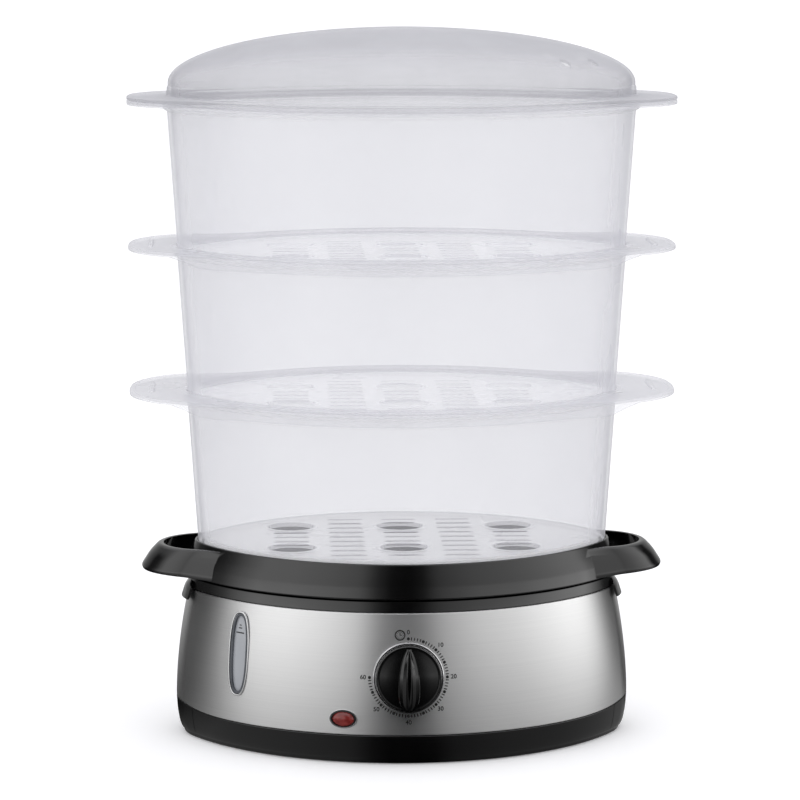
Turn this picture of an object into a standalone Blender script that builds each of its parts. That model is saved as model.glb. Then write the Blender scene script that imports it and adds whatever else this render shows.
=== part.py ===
"""Three-tier electric egg and food steamer, as the set of pieces it comes apart into.

Metres, +Z up, the front with the timer knob towards -Y. The origin is on the table, in the
middle of the footprint. Every level of the stack is a four-arc oval: two wide arcs front and
back and two tight arcs at the ends. Heights in the dimensions below are measured from a datum
inside the base, and everything is raised onto its feet at the end.
"""

import math

import bmesh
import bpy
from mathutils import Matrix, Vector

MM = 0.001

# The oval plan
QUARTER_END_STEPS = 3
QUARTER_SIDE_STEPS = 8
SIDE_STEP_GROWTH = 1.25
END_RADIUS_SHARE = 0.29
GAP = 0.3 * MM

# The base
STAND = 2.4 * MM
BAND_FOOT_Z = 14.4 * MM
BAND_TOP_Z = 80.5 * MM
BAND_HALF_WIDTH = 127.0 * MM
BAND_HALF_DEPTH = 90.0 * MM
BAND_WIDTH_TAPER = 7.4 * MM
BAND_DEPTH_TAPER = 5.2 * MM
BAND_THICKNESS = 0.8 * MM
FOOT_RISE = 4.5 * MM
FOOT_RISE_SHARPNESS = 14
SHELL_THICKNESS = 2.2 * MM
RIM_TOP_Z = 88.0 * MM
COVER_UNDERSIDE_Z = 4.5 * MM
COVER_FLOOR_Z = 7.0 * MM
LIP_Z = -2.0 * MM

# The water tank inside it
TANK_HALF_WIDTH = 100.0 * MM
TANK_HALF_DEPTH = 56.0 * MM
TANK_FLOOR_Z = 36.0 * MM
TANK_WALL = 2.5 * MM
TANK_DECK_Z = 80.0 * MM
HEATER_HOLE_RADIUS = 25.0 * MM

# The drip tray with the two carrying handles
COLLAR_TOP_Z = 107.0 * MM
COLLAR_LOW_Z = RIM_TOP_Z + GAP
COLLAR_WALL = 2.0 * MM
DRIP_FLOOR_Z = 90.4 * MM
CHIMNEY_TOP_Z = 99.0 * MM
COLLAR_LOW_SIZE = (122.0 * MM, 87.2 * MM)
COLLAR_MID_SIZE = (120.2 * MM, 86.4 * MM)
COLLAR_TOP_SIZE = (115.8 * MM, 83.8 * MM)
COLLAR_MID_Z = 98.0 * MM
HANDLE_TOP_Z = 105.4 * MM
HANDLE_LOW_Z = 91.0 * MM
HANDLE_WALL = 3.0 * MM
HANDLE_RADIUS = 29.0 * MM
HANDLE_ROOT_Y = 34.8 * MM
HANDLE_ROOT_DROP = 2.4 * MM
HANDLE_STEPS = 10

# The three steaming trays, lowest first
TRAY_NAMES = ("tray_lower", "tray_middle", "tray_upper")
TRAY_BOTTOM_Z = 105.0 * MM
TRAY_HEIGHT = 86.5 * MM
TRAY_PITCH = 80.6 * MM
TRAY_HALF_WIDTH = 114.0 * MM
TRAY_HALF_DEPTH = 82.0 * MM
TRAY_GROWTH = 5.0 * MM
TRAY_TAPER = 0.07
TRAY_WALL = 1.8 * MM
TRAY_CORNER = 5.0 * MM
TRAY_FLOOR = 2.0 * MM
LEDGE_DEPTH = 4.9 * MM
FLANGE_HALF_WIDTH = 132.0 * MM
FLANGE_HALF_DEPTHS = (99.0 * MM, 100.5 * MM, 102.0 * MM)
LOBE_CENTRE = 95.5 * MM
LOBE_REACH = 56.0 * MM
LOBE_HALF_WIDTH = 64.0 * MM
LOBE_SQUARENESS = 2.2
LOBE_BLEND = 16
LOBE_START = 106.0 * MM
LOBE_FULL = 129.0 * MM
LOBE_SINKS = (-1.2 * MM, -0.9 * MM, 0.0)
SKIRT_DEPTHS = (8.2 * MM, 8.1 * MM, 4.2 * MM)

# Egg seats and steam slots in each tray's floor
EGG_COLUMNS = (-62.0 * MM, 0.0, 62.0 * MM)
EGG_ROWS = (-33.0 * MM, 33.0 * MM)
EGG_HOLE_RADIUS = 13.0 * MM
SLOT_LENGTH = 20.0 * MM
SLOT_WIDTH = 4.0 * MM
SLOT_PITCH_X = 31.0 * MM
SLOT_PITCH_Y = 14.0 * MM

# The lid
LID_FLANGE_Z = TRAY_BOTTOM_Z + 2 * TRAY_PITCH + TRAY_HEIGHT + GAP
LID_HALF_WIDTH = 129.4 * MM
LID_HALF_DEPTH = 98.0 * MM
LID_CREASE_Z = 361.6 * MM
LID_TOP_Z = 392.2 * MM
LID_WALL = 1.8 * MM
DOME_RINGS = 7
DOME_REACH = math.radians(84)
VENTS = ((85.5, -54.0), (102.0, -36.5), (85.5, 54.0), (102.0, 36.5))
VENT_RADIUS = 3.0 * MM

# The timer knob, the dial bezel, the lamp and the water gauge on the front
KNOB_Z = 46.1 * MM
KNOB_RADIUS = 17.8 * MM
BEZEL_RADIUS = 19.3 * MM
SHAFT_RADIUS = 3.0 * MM
LAMP_X = -35.1 * MM
LAMP_Z = 23.0 * MM
LAMP_RADIUS = 4.5 * MM
LAMP_STRETCH = 1.5
GAUGE_X = -91.7 * MM
GAUGE_Z = 52.5 * MM
GAUGE_HALF_HEIGHT = 22.3 * MM
GAUGE_HALF_WIDTH = 6.3 * MM
GAUGE_SQUARENESS = 2.6

FOOT_X = 84.0 * MM
FOOT_Y = 38.0 * MM
BOSS_X = 50.0 * MM
BOSS_Y = 36.0 * MM

BLACK = ((0.012, 0.012, 0.013), 0.32, 0.0)
CLEAR = ((0.86, 0.86, 0.89), 0.25, 0.0)
STEEL = ((0.62, 0.61, 0.60), 0.30, 1.0)
CHROME = ((0.80, 0.80, 0.80), 0.10, 1.0)
RUBBER = ((0.03, 0.03, 0.03), 0.80, 0.0)
WHITE = ((0.80, 0.80, 0.78), 0.45, 0.0)
RED = ((0.45, 0.02, 0.01), 0.15, 0.0)
SMOKE = ((0.40, 0.42, 0.46), 0.15, 0.0)
ZINC = ((0.55, 0.55, 0.56), 0.35, 1.0)
BRASS = ((0.62, 0.47, 0.20), 0.30, 1.0)


def clear_scene():
    for obj in list(bpy.data.objects):
        bpy.data.objects.remove(obj)
    made = []
    for name in ("egg_cooker", "cutters"):
        collection = bpy.data.collections.new(name)
        bpy.context.scene.collection.children.link(collection)
        made.append(collection)
    return made


PARTS, CUTTERS = clear_scene()


def material(name, finish):
    colour, roughness, metallic = finish
    made = bpy.data.materials.new(name)
    made.use_nodes = True
    shader = made.node_tree.nodes["Principled BSDF"]
    shader.inputs["Base Color"].default_value = (*colour, 1.0)
    shader.inputs["Roughness"].default_value = roughness
    shader.inputs["Metallic"].default_value = metallic
    return made


def as_part(obj, finish):
    """Names the object's material after it and files it with the parts."""
    PARTS.objects.link(obj)
    obj.data.materials.append(material(obj.name, finish))
    return obj


def mesh_object(name, bm):
    bmesh.ops.recalc_face_normals(bm, faces=bm.faces)
    mesh = bpy.data.meshes.new(name)
    bm.to_mesh(mesh)
    bm.free()
    mesh.shade_smooth()
    mesh.set_sharp_from_angle(angle=math.radians(32))
    return bpy.data.objects.new(name, mesh)


def joined_mesh(name, bms):
    """One mesh object from several bmeshes, whose shapes stay separate bodies."""
    whole = bmesh.new()
    for bm in bms:
        part = bpy.data.meshes.new(name)
        bm.to_mesh(part)
        bm.free()
        whole.from_mesh(part)
        bpy.data.meshes.remove(part)
    return mesh_object(name, whole)


def combine(obj, bms, operation):
    """Cuts the shapes from the object, or joins them to it. They are placed in the object's
    own frame, and don't touch each other."""
    helper = joined_mesh(f"{obj.name}_{operation.lower()}", bms)
    helper.matrix_world = obj.matrix_world.copy()
    CUTTERS.objects.link(helper)
    helper.hide_render = True
    helper.display_type = "WIRE"
    modifier = obj.modifiers.new(helper.name, "BOOLEAN")
    modifier.operation = operation
    modifier.object = helper


def cut(obj, bms):
    combine(obj, bms, "DIFFERENCE")


def unite(obj, bms):
    combine(obj, bms, "UNION")


def box(size, matrix):
    bm = bmesh.new()
    bmesh.ops.create_cube(bm, size=1.0, matrix=matrix @ Matrix.Diagonal((*size, 1.0)))
    return bm


def cylinder(radius, low, high, matrix=None, sides=16, stretch=1.0):
    """A cylinder along local Z, from low to high. Stretch widens it along local X."""
    bm = bmesh.new()
    place = Matrix.Translation((0, 0, (low + high) / 2)) @ Matrix.Diagonal((stretch, 1, 1, 1))
    bmesh.ops.create_cone(
        bm,
        cap_ends=True,
        segments=sides,
        radius1=radius,
        radius2=radius,
        depth=high - low,
        matrix=(matrix or Matrix.Identity(4)) @ place,
    )
    return bm


def long_oval(half_width, half_height, low, high, matrix, steps=24):
    """A prism along local Z whose outline is a tall oval, squarer than an ellipse."""
    bm = bmesh.new()
    outline = []
    for step in range(steps):
        angle = 2 * math.pi * step / steps
        cosine, sine = math.cos(angle), math.sin(angle)
        power = 2 / GAUGE_SQUARENESS
        x = math.copysign(half_width * abs(cosine) ** power, cosine)
        y = math.copysign(half_height * abs(sine) ** power, sine)
        outline.append((x, y))
    face = bm.faces.new([bm.verts.new((x, y, low)) for x, y in outline])
    raised = bmesh.ops.extrude_face_region(bm, geom=[face])["geom"]
    verts = [item for item in raised if isinstance(item, bmesh.types.BMVert)]
    bmesh.ops.translate(bm, verts=verts, vec=(0, 0, high - low))
    bmesh.ops.transform(bm, matrix=matrix, verts=bm.verts)
    return bm


def turned(name, profile, finish, matrix=None, steps=24):
    """A turned piece: the profile (radius, height) runs from the axis at the top, down the
    outside, and back to the axis, or round a closed section that stays off the axis."""
    mesh = bpy.data.meshes.new(name)
    closed = profile[0][0] > 0
    edges = [(i, i + 1) for i in range(len(profile) - 1)]
    if closed:
        edges.append((len(profile) - 1, 0))
    mesh.from_pydata([(r, 0, z) for r, z in profile], edges, [])
    obj = bpy.data.objects.new(name, mesh)
    screw = obj.modifiers.new("turn", "SCREW")
    screw.steps = steps
    screw.render_steps = steps
    screw.use_merge_vertices = True
    screw.merge_threshold = 0.00001
    screw.use_smooth_shade = True
    obj.matrix_world = matrix or Matrix.Identity(4)
    return as_part(obj, finish)


def end_radius(half_width):
    return END_RADIUS_SHARE * half_width


def side_radius(half_width, half_depth):
    """The radius of the two wide arcs, which meet the tight end arcs without a corner."""
    r = end_radius(half_width)
    return ((half_width - r) ** 2 + half_depth**2 - r**2) / (2 * (half_depth - r))


def oval(half_width, half_depth):
    """Points round a four-arc oval, anticlockwise from +X."""
    r = end_radius(half_width)
    wide = side_radius(half_width, half_depth)
    joint = math.atan2(wide - half_depth, half_width - r)
    angles = [joint * k / QUARTER_END_STEPS for k in range(QUARTER_END_STEPS)]
    for k in range(QUARTER_SIDE_STEPS):
        share = (k / QUARTER_SIDE_STEPS) ** SIDE_STEP_GROWTH
        angles.append(joint + (math.pi / 2 - joint) * share)
    quarter = []
    for angle in angles:
        if angle < joint:
            quarter.append((half_width - r + r * math.cos(angle), r * math.sin(angle)))
        else:
            y = wide * math.sin(angle) - (wide - half_depth)
            quarter.append((wide * math.cos(angle), y))
    top = (0.0, half_depth)
    first = quarter + [top] + [(-x, y) for x, y in reversed(quarter)]
    return first + [(x, -y) for x, y in reversed(first[1:-1])]


def ring(half_width, half_depth, z, rise=0.0):
    """An oval at one height. Its very ends stand higher by rise."""
    points = oval(half_width, half_depth)
    share = FOOT_RISE_SHARPNESS
    return [Vector((x, y, z + rise * (abs(x) / half_width) ** share)) for x, y in points]


def offset_ring(size, offset, z, rise=0.0):
    return ring(size[0] + offset, size[1] + offset, z, rise)


def circle_ring(radius, z, size):
    """A circle at one height, with as many points as an oval of that size, and facing them."""
    points = []
    for x, y in oval(*size):
        angle = math.atan2(y / size[1], x / size[0])
        points.append(Vector((radius * math.cos(angle), radius * math.sin(angle), z)))
    return points


def loft(rings, cyclic=False):
    """A closed surface through a stack of rings: capped at both ends, or joined end to end."""
    bm = bmesh.new()
    rows = [[bm.verts.new(point) for point in points] for points in rings]
    count = len(rows[0])
    pairs = list(zip(rows, rows[1:]))
    if cyclic:
        pairs.append((rows[-1], rows[0]))
    for low, high in pairs:
        for i in range(count):
            j = (i + 1) % count
            bm.faces.new((low[i], low[j], high[j], high[i]))
    if not cyclic:
        caps = [bm.faces.new(list(reversed(rows[0]))), bm.faces.new(rows[-1])]
        bm.normal_update()
        bmesh.ops.triangulate(bm, faces=caps)
    return bm


def band_size(z):
    """Half width and half depth of the steel band's outer face at a height."""
    rise = ((z - BAND_FOOT_Z) / (BAND_TOP_Z - BAND_FOOT_Z)) ** 2
    return BAND_HALF_WIDTH - BAND_WIDTH_TAPER * rise, BAND_HALF_DEPTH - BAND_DEPTH_TAPER * rise


def panel_frame(x, z, rear=False):
    """A frame on the band's outer face: local Z out of the band, local Y up it."""
    half_width, half_depth = band_size(z)
    wide = side_radius(half_width, half_depth)
    y = -(math.sqrt(wide**2 - x**2) - (wide - half_depth))
    step = 1.0 * MM
    tilt = math.atan((band_size(z - step)[1] - band_size(z + step)[1]) / (2 * step))
    turn = math.asin(x / wide)
    place = Matrix.Translation((x, y, z)) @ Matrix.Rotation(turn, 4, "Z")
    place = place @ Matrix.Rotation(math.pi / 2 - tilt, 4, "X")
    return Matrix.Rotation(math.pi, 4, "Z") @ place if rear else place


def lobe_reach(cosine, sine):
    """How far a lobe's edge lies from the axis in one direction, found by halving."""
    near, far = 0.0, LOBE_CENTRE + LOBE_REACH
    for _ in range(40):
        middle = (near + far) / 2
        across = max(middle * cosine - LOBE_CENTRE, 0.0) / LOBE_REACH
        along = middle * sine / LOBE_HALF_WIDTH
        if across**LOBE_SQUARENESS + along**LOBE_SQUARENESS < 1:
            near = middle
        else:
            far = middle
    return near


def flange_outline(index):
    """The plan of a tray's flange: an oval with a broad carrying lobe at each end."""
    outline = []
    for x, y in oval(FLANGE_HALF_WIDTH, FLANGE_HALF_DEPTHS[index]):
        reach = math.hypot(x, y)
        cosine, sine = abs(x) / reach, abs(y) / reach
        lobe = lobe_reach(cosine, sine)
        blended = (reach**LOBE_BLEND + lobe**LOBE_BLEND) ** (1 / LOBE_BLEND)
        blended = min(blended, LOBE_CENTRE + LOBE_REACH)
        outline.append((x * blended / reach, y * blended / reach))
    return outline


def flange_ring(index, inset, z_side, z_lobe):
    """The flange's outline moved in by inset, at one height along the sides and another
    on the lobes."""
    points = []
    for x, y in flange_outline(index):
        reach = math.hypot(x, y)
        share = min(max((abs(x) - LOBE_START) / (LOBE_FULL - LOBE_START), 0.0), 1.0)
        share = share * share * (3 - 2 * share)
        scale = (reach - inset) / reach
        points.append(Vector((x * scale, y * scale, z_side + (z_lobe - z_side) * share)))
    return points


def tray_rings(index):
    """The tray's surface from the middle of its underside, up the outside, over the flange
    and down the inside to the floor."""
    low = TRAY_BOTTOM_Z + index * TRAY_PITCH
    top = low + TRAY_HEIGHT
    ledge = top - LEDGE_DEPTH
    foot = (TRAY_HALF_WIDTH + index * TRAY_GROWTH, TRAY_HALF_DEPTH + index * TRAY_GROWTH)
    wall_top = TRAY_TAPER * (ledge - low - TRAY_CORNER)
    recess = TRAY_GROWTH + 0.8 * MM
    under = top - TRAY_WALL
    skirt = top - SKIRT_DEPTHS[index]
    lobe = top - LOBE_SINKS[index]
    soft = 0.3 * TRAY_CORNER
    return [
        offset_ring(foot, -TRAY_CORNER, low),
        offset_ring(foot, -soft, low + soft),
        offset_ring(foot, 0.0, low + TRAY_CORNER),
        offset_ring(foot, wall_top, ledge - TRAY_WALL),
        offset_ring(foot, recess + TRAY_WALL, ledge - 0.5 * MM),
        offset_ring(foot, recess + TRAY_WALL, under),
        flange_ring(index, TRAY_WALL, under, lobe - TRAY_WALL),
        flange_ring(index, TRAY_WALL, skirt, lobe - TRAY_WALL - 0.6 * MM),
        flange_ring(index, 0.0, skirt, lobe - TRAY_WALL - 0.6 * MM),
        flange_ring(index, 0.0, top - 0.8 * MM, lobe - 0.6 * MM),
        flange_ring(index, 1.2 * MM, top, lobe),
        offset_ring(foot, recess, top),
        offset_ring(foot, recess, ledge),
        offset_ring(foot, wall_top - TRAY_WALL, ledge),
        offset_ring(foot, -TRAY_WALL, low + TRAY_CORNER),
        offset_ring(foot, -TRAY_CORNER, low + TRAY_FLOOR),
    ]


def inside_oval(x, y, half_width, half_depth):
    wide = side_radius(half_width, half_depth)
    return math.hypot(x, abs(y) + wide - half_depth) < wide and abs(x) < half_width * 0.9


def floor_cutters(index):
    """Round egg seats, and rows of steam slots wherever they clear the seats and the wall."""
    low = TRAY_BOTTOM_Z + index * TRAY_PITCH
    through = (low - 1.0 * MM, low + TRAY_FLOOR + 1.0 * MM)
    cutters = []
    for x in EGG_COLUMNS:
        for y in EGG_ROWS:
            cutters.append(
                cylinder(EGG_HOLE_RADIUS, *through, Matrix.Translation((x, y, 0)), sides=12)
            )
    clear_x = EGG_HOLE_RADIUS + SLOT_LENGTH / 2 + 2.0 * MM
    clear_y = EGG_HOLE_RADIUS + SLOT_WIDTH / 2 + 2.0 * MM
    for column in range(-3, 4):
        for row in range(-4, 5):
            x, y = column * SLOT_PITCH_X, row * SLOT_PITCH_Y
            reach = abs(x) + SLOT_LENGTH / 2
            seats = [(ex, ey) for ex in EGG_COLUMNS for ey in EGG_ROWS]
            blocked = any(abs(x - ex) < clear_x and abs(y - ey) < clear_y for ex, ey in seats)
            fits = inside_oval(reach, y, TRAY_HALF_WIDTH - 9 * MM, TRAY_HALF_DEPTH - 9 * MM)
            if fits and not blocked:
                centre = Matrix.Translation((x, y, low + TRAY_FLOOR / 2))
                cutters.append(box((SLOT_LENGTH, SLOT_WIDTH, TRAY_FLOOR + 2 * MM), centre))
    return cutters


def make_trays():
    for index, name in enumerate(TRAY_NAMES):
        tray = as_part(mesh_object(name, loft(tray_rings(index))), CLEAR)
        cut(tray, floor_cutters(index))


def make_lid():
    """A domed lid whose flange matches the upper tray's, with a lip that drops inside it."""
    low = LID_FLANGE_Z
    top = low + 1.5 * MM
    lip = low - 3.6 * MM
    size = (LID_HALF_WIDTH, LID_HALF_DEPTH)
    rings = [
        offset_ring(size, -3.2 * MM, lip),
        offset_ring(size, -1.6 * MM, lip),
        offset_ring(size, -1.6 * MM, low),
        flange_ring(2, 0.0, low, low),
        flange_ring(2, 0.0, top, top),
        offset_ring(size, 0.3 * MM, top),
    ]
    for k in range(DOME_RINGS):
        angle = DOME_REACH * k / (DOME_RINGS - 1)
        scale, rise = math.cos(angle), (LID_TOP_Z - LID_CREASE_Z) * math.sin(angle)
        rings.append(ring(size[0] * scale, size[1] * scale, LID_CREASE_Z + rise))
    for k in reversed(range(DOME_RINGS)):
        angle = DOME_REACH * k / (DOME_RINGS - 1)
        scale = math.cos(angle)
        rise = (LID_TOP_Z - LID_WALL - LID_CREASE_Z) * math.sin(angle)
        inner = ((size[0] - LID_WALL) * scale, (size[1] - LID_WALL) * scale)
        rings.append(ring(*inner, LID_CREASE_Z + rise))
    bm = bmesh.new()
    rows = [[bm.verts.new(point) for point in points] for points in rings]
    count = len(rows[0])
    for first, second in zip(rows, rows[1:] + rows[:1]):
        if first is rows[5 + DOME_RINGS]:
            bm.faces.new(first)
            bm.faces.new(list(reversed(second)))
            continue
        for i in range(count):
            j = (i + 1) % count
            bm.faces.new((first[i], first[j], second[j], second[i]))
    lid = as_part(mesh_object("lid", bm), CLEAR)
    vents = []
    for x, y in VENTS:
        place = Matrix.Translation((x * MM, y * MM, 0))
        vents.append(cylinder(VENT_RADIUS, 358 * MM, 395 * MM, place, 10))
    cut(lid, vents)


def collar_size(z):
    """Half width and half depth of the collar's outer face at a height."""
    low, high = (COLLAR_LOW_SIZE, COLLAR_LOW_Z), (COLLAR_MID_SIZE, COLLAR_MID_Z)
    if z > COLLAR_MID_Z:
        low, high = high, (COLLAR_TOP_SIZE, COLLAR_TOP_Z)
    share = (z - low[1]) / (high[1] - low[1])
    return [a + (b - a) * share for a, b in zip(low[0], high[0])]


def handle_path(reach, inset, z, drop):
    """One edge of a handle, from its front root inside the collar's wall, round the grip, to
    its rear root. The edge hangs lower by drop at the roots."""
    radius = HANDLE_RADIUS - inset
    half_width, half_depth = collar_size(z - drop)
    wide = side_radius(half_width, half_depth)
    root_y = HANDLE_ROOT_Y - 0.25 * inset
    depth_in = 0.9 * MM + 0.2 * inset
    root_x = math.sqrt((wide - depth_in) ** 2 - (root_y + wide - half_depth) ** 2)
    points = [(root_x, -root_y)]
    for k in range(HANDLE_STEPS + 1):
        angle = math.radians(80) * (2 * k / HANDLE_STEPS - 1)
        across = radius * math.cos(angle)
        points.append((reach - HANDLE_RADIUS + across, radius * math.sin(angle)))
    points.append((root_x, root_y))
    span = reach - inset - root_x
    return [(x, y, z - drop * (1 - (x - root_x) / span) ** 2) for x, y in points]


def handle_band(side):
    """One carrying handle: a wall that leaves the collar, runs round and comes back. It leans
    out and bulges towards its foot. Its two ends stop inside the collar's wall."""
    low = HANDLE_LOW_Z
    edges = [
        handle_path(136.4 * MM, 0.0, HANDLE_TOP_Z, 0.0),
        handle_path(141.2 * MM, 0.0, 100.5 * MM, 0.0),
        handle_path(146.0 * MM, 0.0, low + 2.0 * MM, HANDLE_ROOT_DROP),
        handle_path(145.2 * MM, 0.0, low, HANDLE_ROOT_DROP),
        handle_path(144.8 * MM, HANDLE_WALL, low, HANDLE_ROOT_DROP),
        handle_path(136.4 * MM, HANDLE_WALL, HANDLE_TOP_Z, 0.0),
    ]
    count = len(edges[0])
    return [[Vector((side * path[k][0], *path[k][1:])) for path in edges] for k in range(count)]


def make_drip_tray():
    """The black collar that carries the trays, its floor with the steam chimney, and the
    handles at its ends."""
    low_size, mid, top_size = COLLAR_LOW_SIZE, COLLAR_MID_SIZE, COLLAR_TOP_SIZE
    seat = (111.0 * MM, 79.0 * MM)
    floor_size = (108.5 * MM, 76.5 * MM)
    chimney = (34.0 * MM, 26.0 * MM)
    ledge = TRAY_BOTTOM_Z + 0.5 * MM
    under = DRIP_FLOOR_Z - COLLAR_WALL
    rings = [
        offset_ring(chimney, 0.0, under),
        offset_ring(floor_size, COLLAR_WALL, under),
        offset_ring(seat, COLLAR_WALL, ledge - COLLAR_WALL),
        offset_ring(mid, -COLLAR_WALL, 97.0 * MM),
        offset_ring(low_size, -COLLAR_WALL, COLLAR_LOW_Z),
        offset_ring(low_size, 0.0, COLLAR_LOW_Z),
        offset_ring(mid, 0.0, COLLAR_MID_Z),
        offset_ring(top_size, 0.0, COLLAR_TOP_Z),
        offset_ring(top_size, -1.2 * MM, COLLAR_TOP_Z),
        offset_ring(top_size, -1.4 * MM, ledge),
        offset_ring(seat, 0.0, ledge),
        offset_ring(floor_size, 0.0, DRIP_FLOOR_Z),
        offset_ring(chimney, 3.0 * MM, DRIP_FLOOR_Z),
        offset_ring(chimney, 1.0 * MM, CHIMNEY_TOP_Z),
        offset_ring(chimney, -1.0 * MM, CHIMNEY_TOP_Z),
    ]
    drip_tray = as_part(mesh_object("drip_tray", loft(rings, cyclic=True)), BLACK)
    unite(drip_tray, [loft(handle_band(1)), loft(handle_band(-1))])


def shell_frame_cutters(depth):
    """The openings for gauge, lamp, timer shaft, timer screws and cord gland, cut from the
    outer face inwards."""
    gauge = panel_frame(GAUGE_X, GAUGE_Z)
    lamp = panel_frame(LAMP_X, LAMP_Z)
    knob = panel_frame(0.0, KNOB_Z)
    gland = panel_frame(0.0, 26.0 * MM, rear=True)
    out = 4.0 * MM
    cutters = [
        long_oval(GAUGE_HALF_WIDTH + GAP, GAUGE_HALF_HEIGHT + GAP, -depth, out, gauge),
        cylinder(LAMP_RADIUS + 0.4 * MM, -depth, out, lamp, 12, stretch=LAMP_STRETCH),
        cylinder(4.5 * MM, -depth, out, knob, 12),
        cylinder(6.2 * MM, -depth, out, gland, 12),
    ]
    for side in (-1, 1):
        screw = knob @ Matrix.Translation((side * 11 * MM, 0, 0))
        cutters.append(cylinder(1.9 * MM, -depth, out, screw, 8))
    return cutters


def make_steel_band():
    heights = [BAND_FOOT_Z + (BAND_TOP_Z - BAND_FOOT_Z) * k / 4 for k in range(5)]
    rings = []
    for z in heights:
        rise = FOOT_RISE if z == heights[0] else 0.0
        rings.append(offset_ring(band_size(z), 0.0, z, rise))
    for z in reversed(heights):
        rise = FOOT_RISE if z == heights[0] else 0.0
        rings.append(offset_ring(band_size(z), -BAND_THICKNESS, z, rise))
    band = as_part(mesh_object("steel_band", loft(rings, cyclic=True)), STEEL)
    cut(band, shell_frame_cutters(8 * MM))


def make_body_shell():
    """The black body inside the steel band, whose rim shows above it, with a grip lug at
    each end of the rim."""
    inner = BAND_THICKNESS + GAP
    foot = BAND_FOOT_Z + GAP
    rim_low = BAND_TOP_Z + GAP
    rim = band_size(BAND_TOP_Z)
    seat = -6.0 * MM
    rings = [offset_ring(band_size(foot), -inner, foot, FOOT_RISE)]
    rings += [offset_ring(band_size(z * MM), -inner, z * MM) for z in (40, 62, 78)]
    rings += [
        offset_ring(rim, -inner, rim_low),
        offset_ring(rim, -0.2 * MM, rim_low),
        offset_ring(rim, -0.9 * MM, RIM_TOP_Z - 1.2 * MM),
        offset_ring(rim, -3.0 * MM, RIM_TOP_Z - 0.9 * MM),
        offset_ring(rim, -3.0 * MM, RIM_TOP_Z),
        offset_ring(rim, seat, RIM_TOP_Z),
        offset_ring(rim, seat, 83.0 * MM),
    ]
    deep = inner + SHELL_THICKNESS
    rings += [
        offset_ring(rim, -deep, 81.0 * MM),
        offset_ring(band_size(62 * MM), -deep, 62 * MM),
        offset_ring(band_size(40 * MM), -deep, 40 * MM),
        offset_ring(band_size(foot), -deep, foot, FOOT_RISE),
    ]
    shell = as_part(mesh_object("body_shell", loft(rings, cyclic=True)), BLACK)
    cut(shell, shell_frame_cutters(12 * MM))
    unite(shell, [loft(grip_lug(side)) for side in (-1, 1)])


def grip_lug(side):
    """A short lip that flares down and out from the rim's end, for lifting the base."""
    sections = []
    half_angle, steps = math.radians(24), 6
    rim = band_size(BAND_TOP_Z)[0]
    radius = end_radius(rim)
    centre = rim - radius
    for k in range(steps + 1):
        angle = half_angle * (2 * k / steps - 1)
        section = []
        for reach, z in (
            (-2.4 * MM, 85.4 * MM),
            (-2.4 * MM, 81.6 * MM),
            (0.9 * MM, 81.2 * MM),
            (3.0 * MM, 75.2 * MM),
            (4.2 * MM, 75.2 * MM),
            (2.1 * MM, 81.8 * MM),
            (-0.9 * MM, 85.4 * MM),
        ):
            r = radius + reach
            section.append(Vector((side * (centre + r * math.cos(angle)), r * math.sin(angle), z)))
        sections.append(section)
    return sections


def make_base_cover():
    top = band_size(BAND_FOOT_Z)
    z_top = BAND_FOOT_Z - GAP
    rings = [
        offset_ring(top, -9.0 * MM, COVER_UNDERSIDE_Z),
        offset_ring(top, -8.4 * MM, LIP_Z),
        offset_ring(top, -4.4 * MM, LIP_Z),
        offset_ring(top, -3.8 * MM, 0.2 * MM),
        offset_ring(top, -2.9 * MM, 0.8 * MM),
        offset_ring(top, -1.7 * MM, 3.6 * MM),
        offset_ring(top, -0.5 * MM, 9.0 * MM, 1.5 * MM),
        offset_ring(top, 0.0, z_top, FOOT_RISE),
        offset_ring(top, -3.4 * MM, z_top, FOOT_RISE),
        offset_ring(top, -4.0 * MM, 9.5 * MM),
        offset_ring(top, -6.5 * MM, COVER_FLOOR_Z),
    ]
    cover = as_part(mesh_object("base_cover", loft(rings)), BLACK)
    cutters = []
    for x, y in corners(BOSS_X, BOSS_Y):
        place = Matrix.Translation((x, y, 0))
        cutters.append(cylinder(1.9 * MM, 0, 10 * MM, place, 8))
    cut(cover, cutters)


def corners(x, y):
    return [(sx * x, sy * y) for sy in (-1, 1) for sx in (-1, 1)]


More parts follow.
